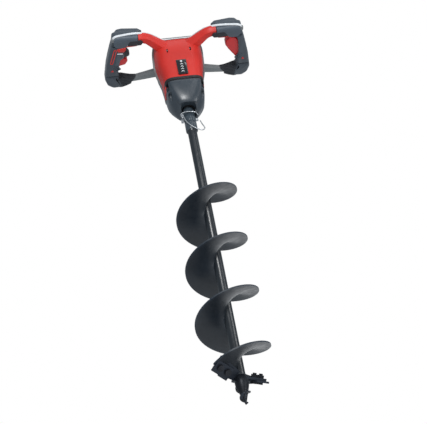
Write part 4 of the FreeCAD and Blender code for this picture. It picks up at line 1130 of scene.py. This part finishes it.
def cross_recess(x, height, seat, tip, radius, thick):
    """A cutter for the cross recess in a screw head."""
    outward = math.copysign(1, seat - tip)
    arm, half = 0.62 * radius, 0.17 * radius
    low, high = sorted((seat + outward * 0.25 * thick, seat + outward * (thick + 2)))
    plus = ((arm, half), (half, half), (half, arm), (-half, arm), (-half, half), (-arm, half),
            (-arm, -half), (-half, -half), (-half, -arm), (half, -arm), (half, -half), (arm, -half))
    return prism([(x + px, height + pz) for px, pz in plus], low, high, "Y")


def make_screws():
    """Two front screws deep in their recesses and two rear screws at the motor plate."""
    heads = merged(*[cross_head(*screw) for screw in SCREWS])
    recesses = merged(*[cross_recess(*screw) for screw in SCREWS])
    piece("shell_screws", heads, "screw_steel", ["housing_screws"], [recesses], sharp=34)


def make_direction_knob():
    """The rear direction slider with finger ribs."""
    knob = prism(rounded_box(-6.9, 6.9, 931.2, 938.8, 1.2), 51.5, 64.6, "Y")
    grooves = merged(*[prism(rounded_box(x - 0.5, x + 0.5, 928, 942, 0), 63.7, 66, "Y")
                       for x in (-4.5, -2.25, 0, 2.25, 4.5)])
    piece("direction_knob", knob, "button_black", ["direction_switch"], [grooves], body="direction_switch",
          sharp=34)


# ---------------------------------------------------------------- drill: pilot, tube and socket
# height and radius pairs
PILOT_CORE = (
    (0, 0.5), (3, 1.8), (9, 3.4), (18, 6.2), (27, 9.2), (36, 12), (45, 14.2), (53, 14.8), (60, 13.2),
    (66, 10.9))
TUBE_PROFILE = (
    (44, 8.5), (44, 10.4), (44.6, 11), (728, 11), (730.6, 11.5), (732, 12.4), (733, 12.4), (733, 11),
    (742, 11), (742, 8.5), (740, 8.5), (46, 8.5))
SOCKET_PROFILE = (
    (742, 10.06), (742, 11.1), (733.2, 11.1), (732, 12.6), (732.4, 13.4), (733.6, 14.25), (756, 14.25),
    (757, 13.7), (758.6, 13.7), (759.6, 14.25), (777, 14.25), (778, 13.7), (779.6, 13.7), (780.6, 14.25),
    (796.8, 14.25), (798, 13.2), (798, 10.06))
PILOT_PITCH, THREAD_LOW, THREAD_RISE, THREAD_STEPS = 24, 3.5, 0.62, 60
THREAD_DEPTH, THREAD_FADE = 5, 0.55
PIN_HEIGHT, CROSS_HOLE = 768, 4.3


def rings_about_drill(profile, count):
    """Rings about the drill's axis from (height, radius) pairs."""
    return [ring_at(circle(radius, count), height) for height, radius in profile]


def turned(profile, count=72):
    """A turned ring-shaped solid about the drill's axis, its profile closed on itself."""
    rings = rings_about_drill(profile, count)
    return loft(rings + rings[:1], capped=False)


def make_pilot():
    """The tapered pilot: a stout cone with a widening screw thread."""
    pilot = raw_object("pilot_screw", loft(rings_about_drill(PILOT_CORE, 32)))
    turns = []
    for step in range(THREAD_STEPS + 1):
        height = THREAD_LOW + THREAD_RISE * step
        angle = 2 * math.pi * (height - 4) / PILOT_PITCH
        core = table_value(PILOT_CORE, height)
        fade = THREAD_FADE * between(step, 50, THREAD_STEPS)
        rim = (core + THREAD_DEPTH) * between(step, -4, 6) * (1 - fade) + core * fade
        turns.append([(radius * math.cos(angle), radius * math.sin(angle), max(0.4, height + lift))
                      for radius, lift in ((0.6 * core, -3.4), (rim, -0.9), (rim, 0.9), (0.6 * core, 3))])
    carve(pilot, [loft(turns)], "UNION")
    finished(pilot, "drill_paint", ["pilot_point"], body="drill", bevel=0.3, segments=1, sharp=38,
             finish="blade_steel")


def make_tube():
    """The drill tube with its weld bead, and the grooved socket above it with the lock pin's cross hole."""
    piece("drill_tube_body", turned(TUBE_PROFILE), "drill_paint", ["drill_tube"], body="drill", sharp=50,
          finish="tube_paint")
    cross_hole = prism(circle(CROSS_HOLE, 24, 0, PIN_HEIGHT), -20, 20, "X")
    # the socket's finish is lighter than the tube's paint: painted light on the socket top in the bell's
    # mouth
    piece("socket_body", turned(SOCKET_PROFILE), "drill_paint", ["coupling_socket"], [cross_hole],
          body="drill", sharp=40, finish="lit_socket_paint")


# ---------------------------------------------------------------- run
make_camera()
make_surround()
make_floor()
make_lights()
dress_cad_nodes()
make_front_shell()
make_rear_shell()
make_bell()
make_bell_panel()
make_seam()
make_badge()
make_arms()
make_arm_plates()
make_grips()
make_corners()
make_sleeves()
make_trims()
make_levers()
make_left_marks()
make_grip_marks()
make_screws()
make_direction_knob()
make_pilot()
make_tube()
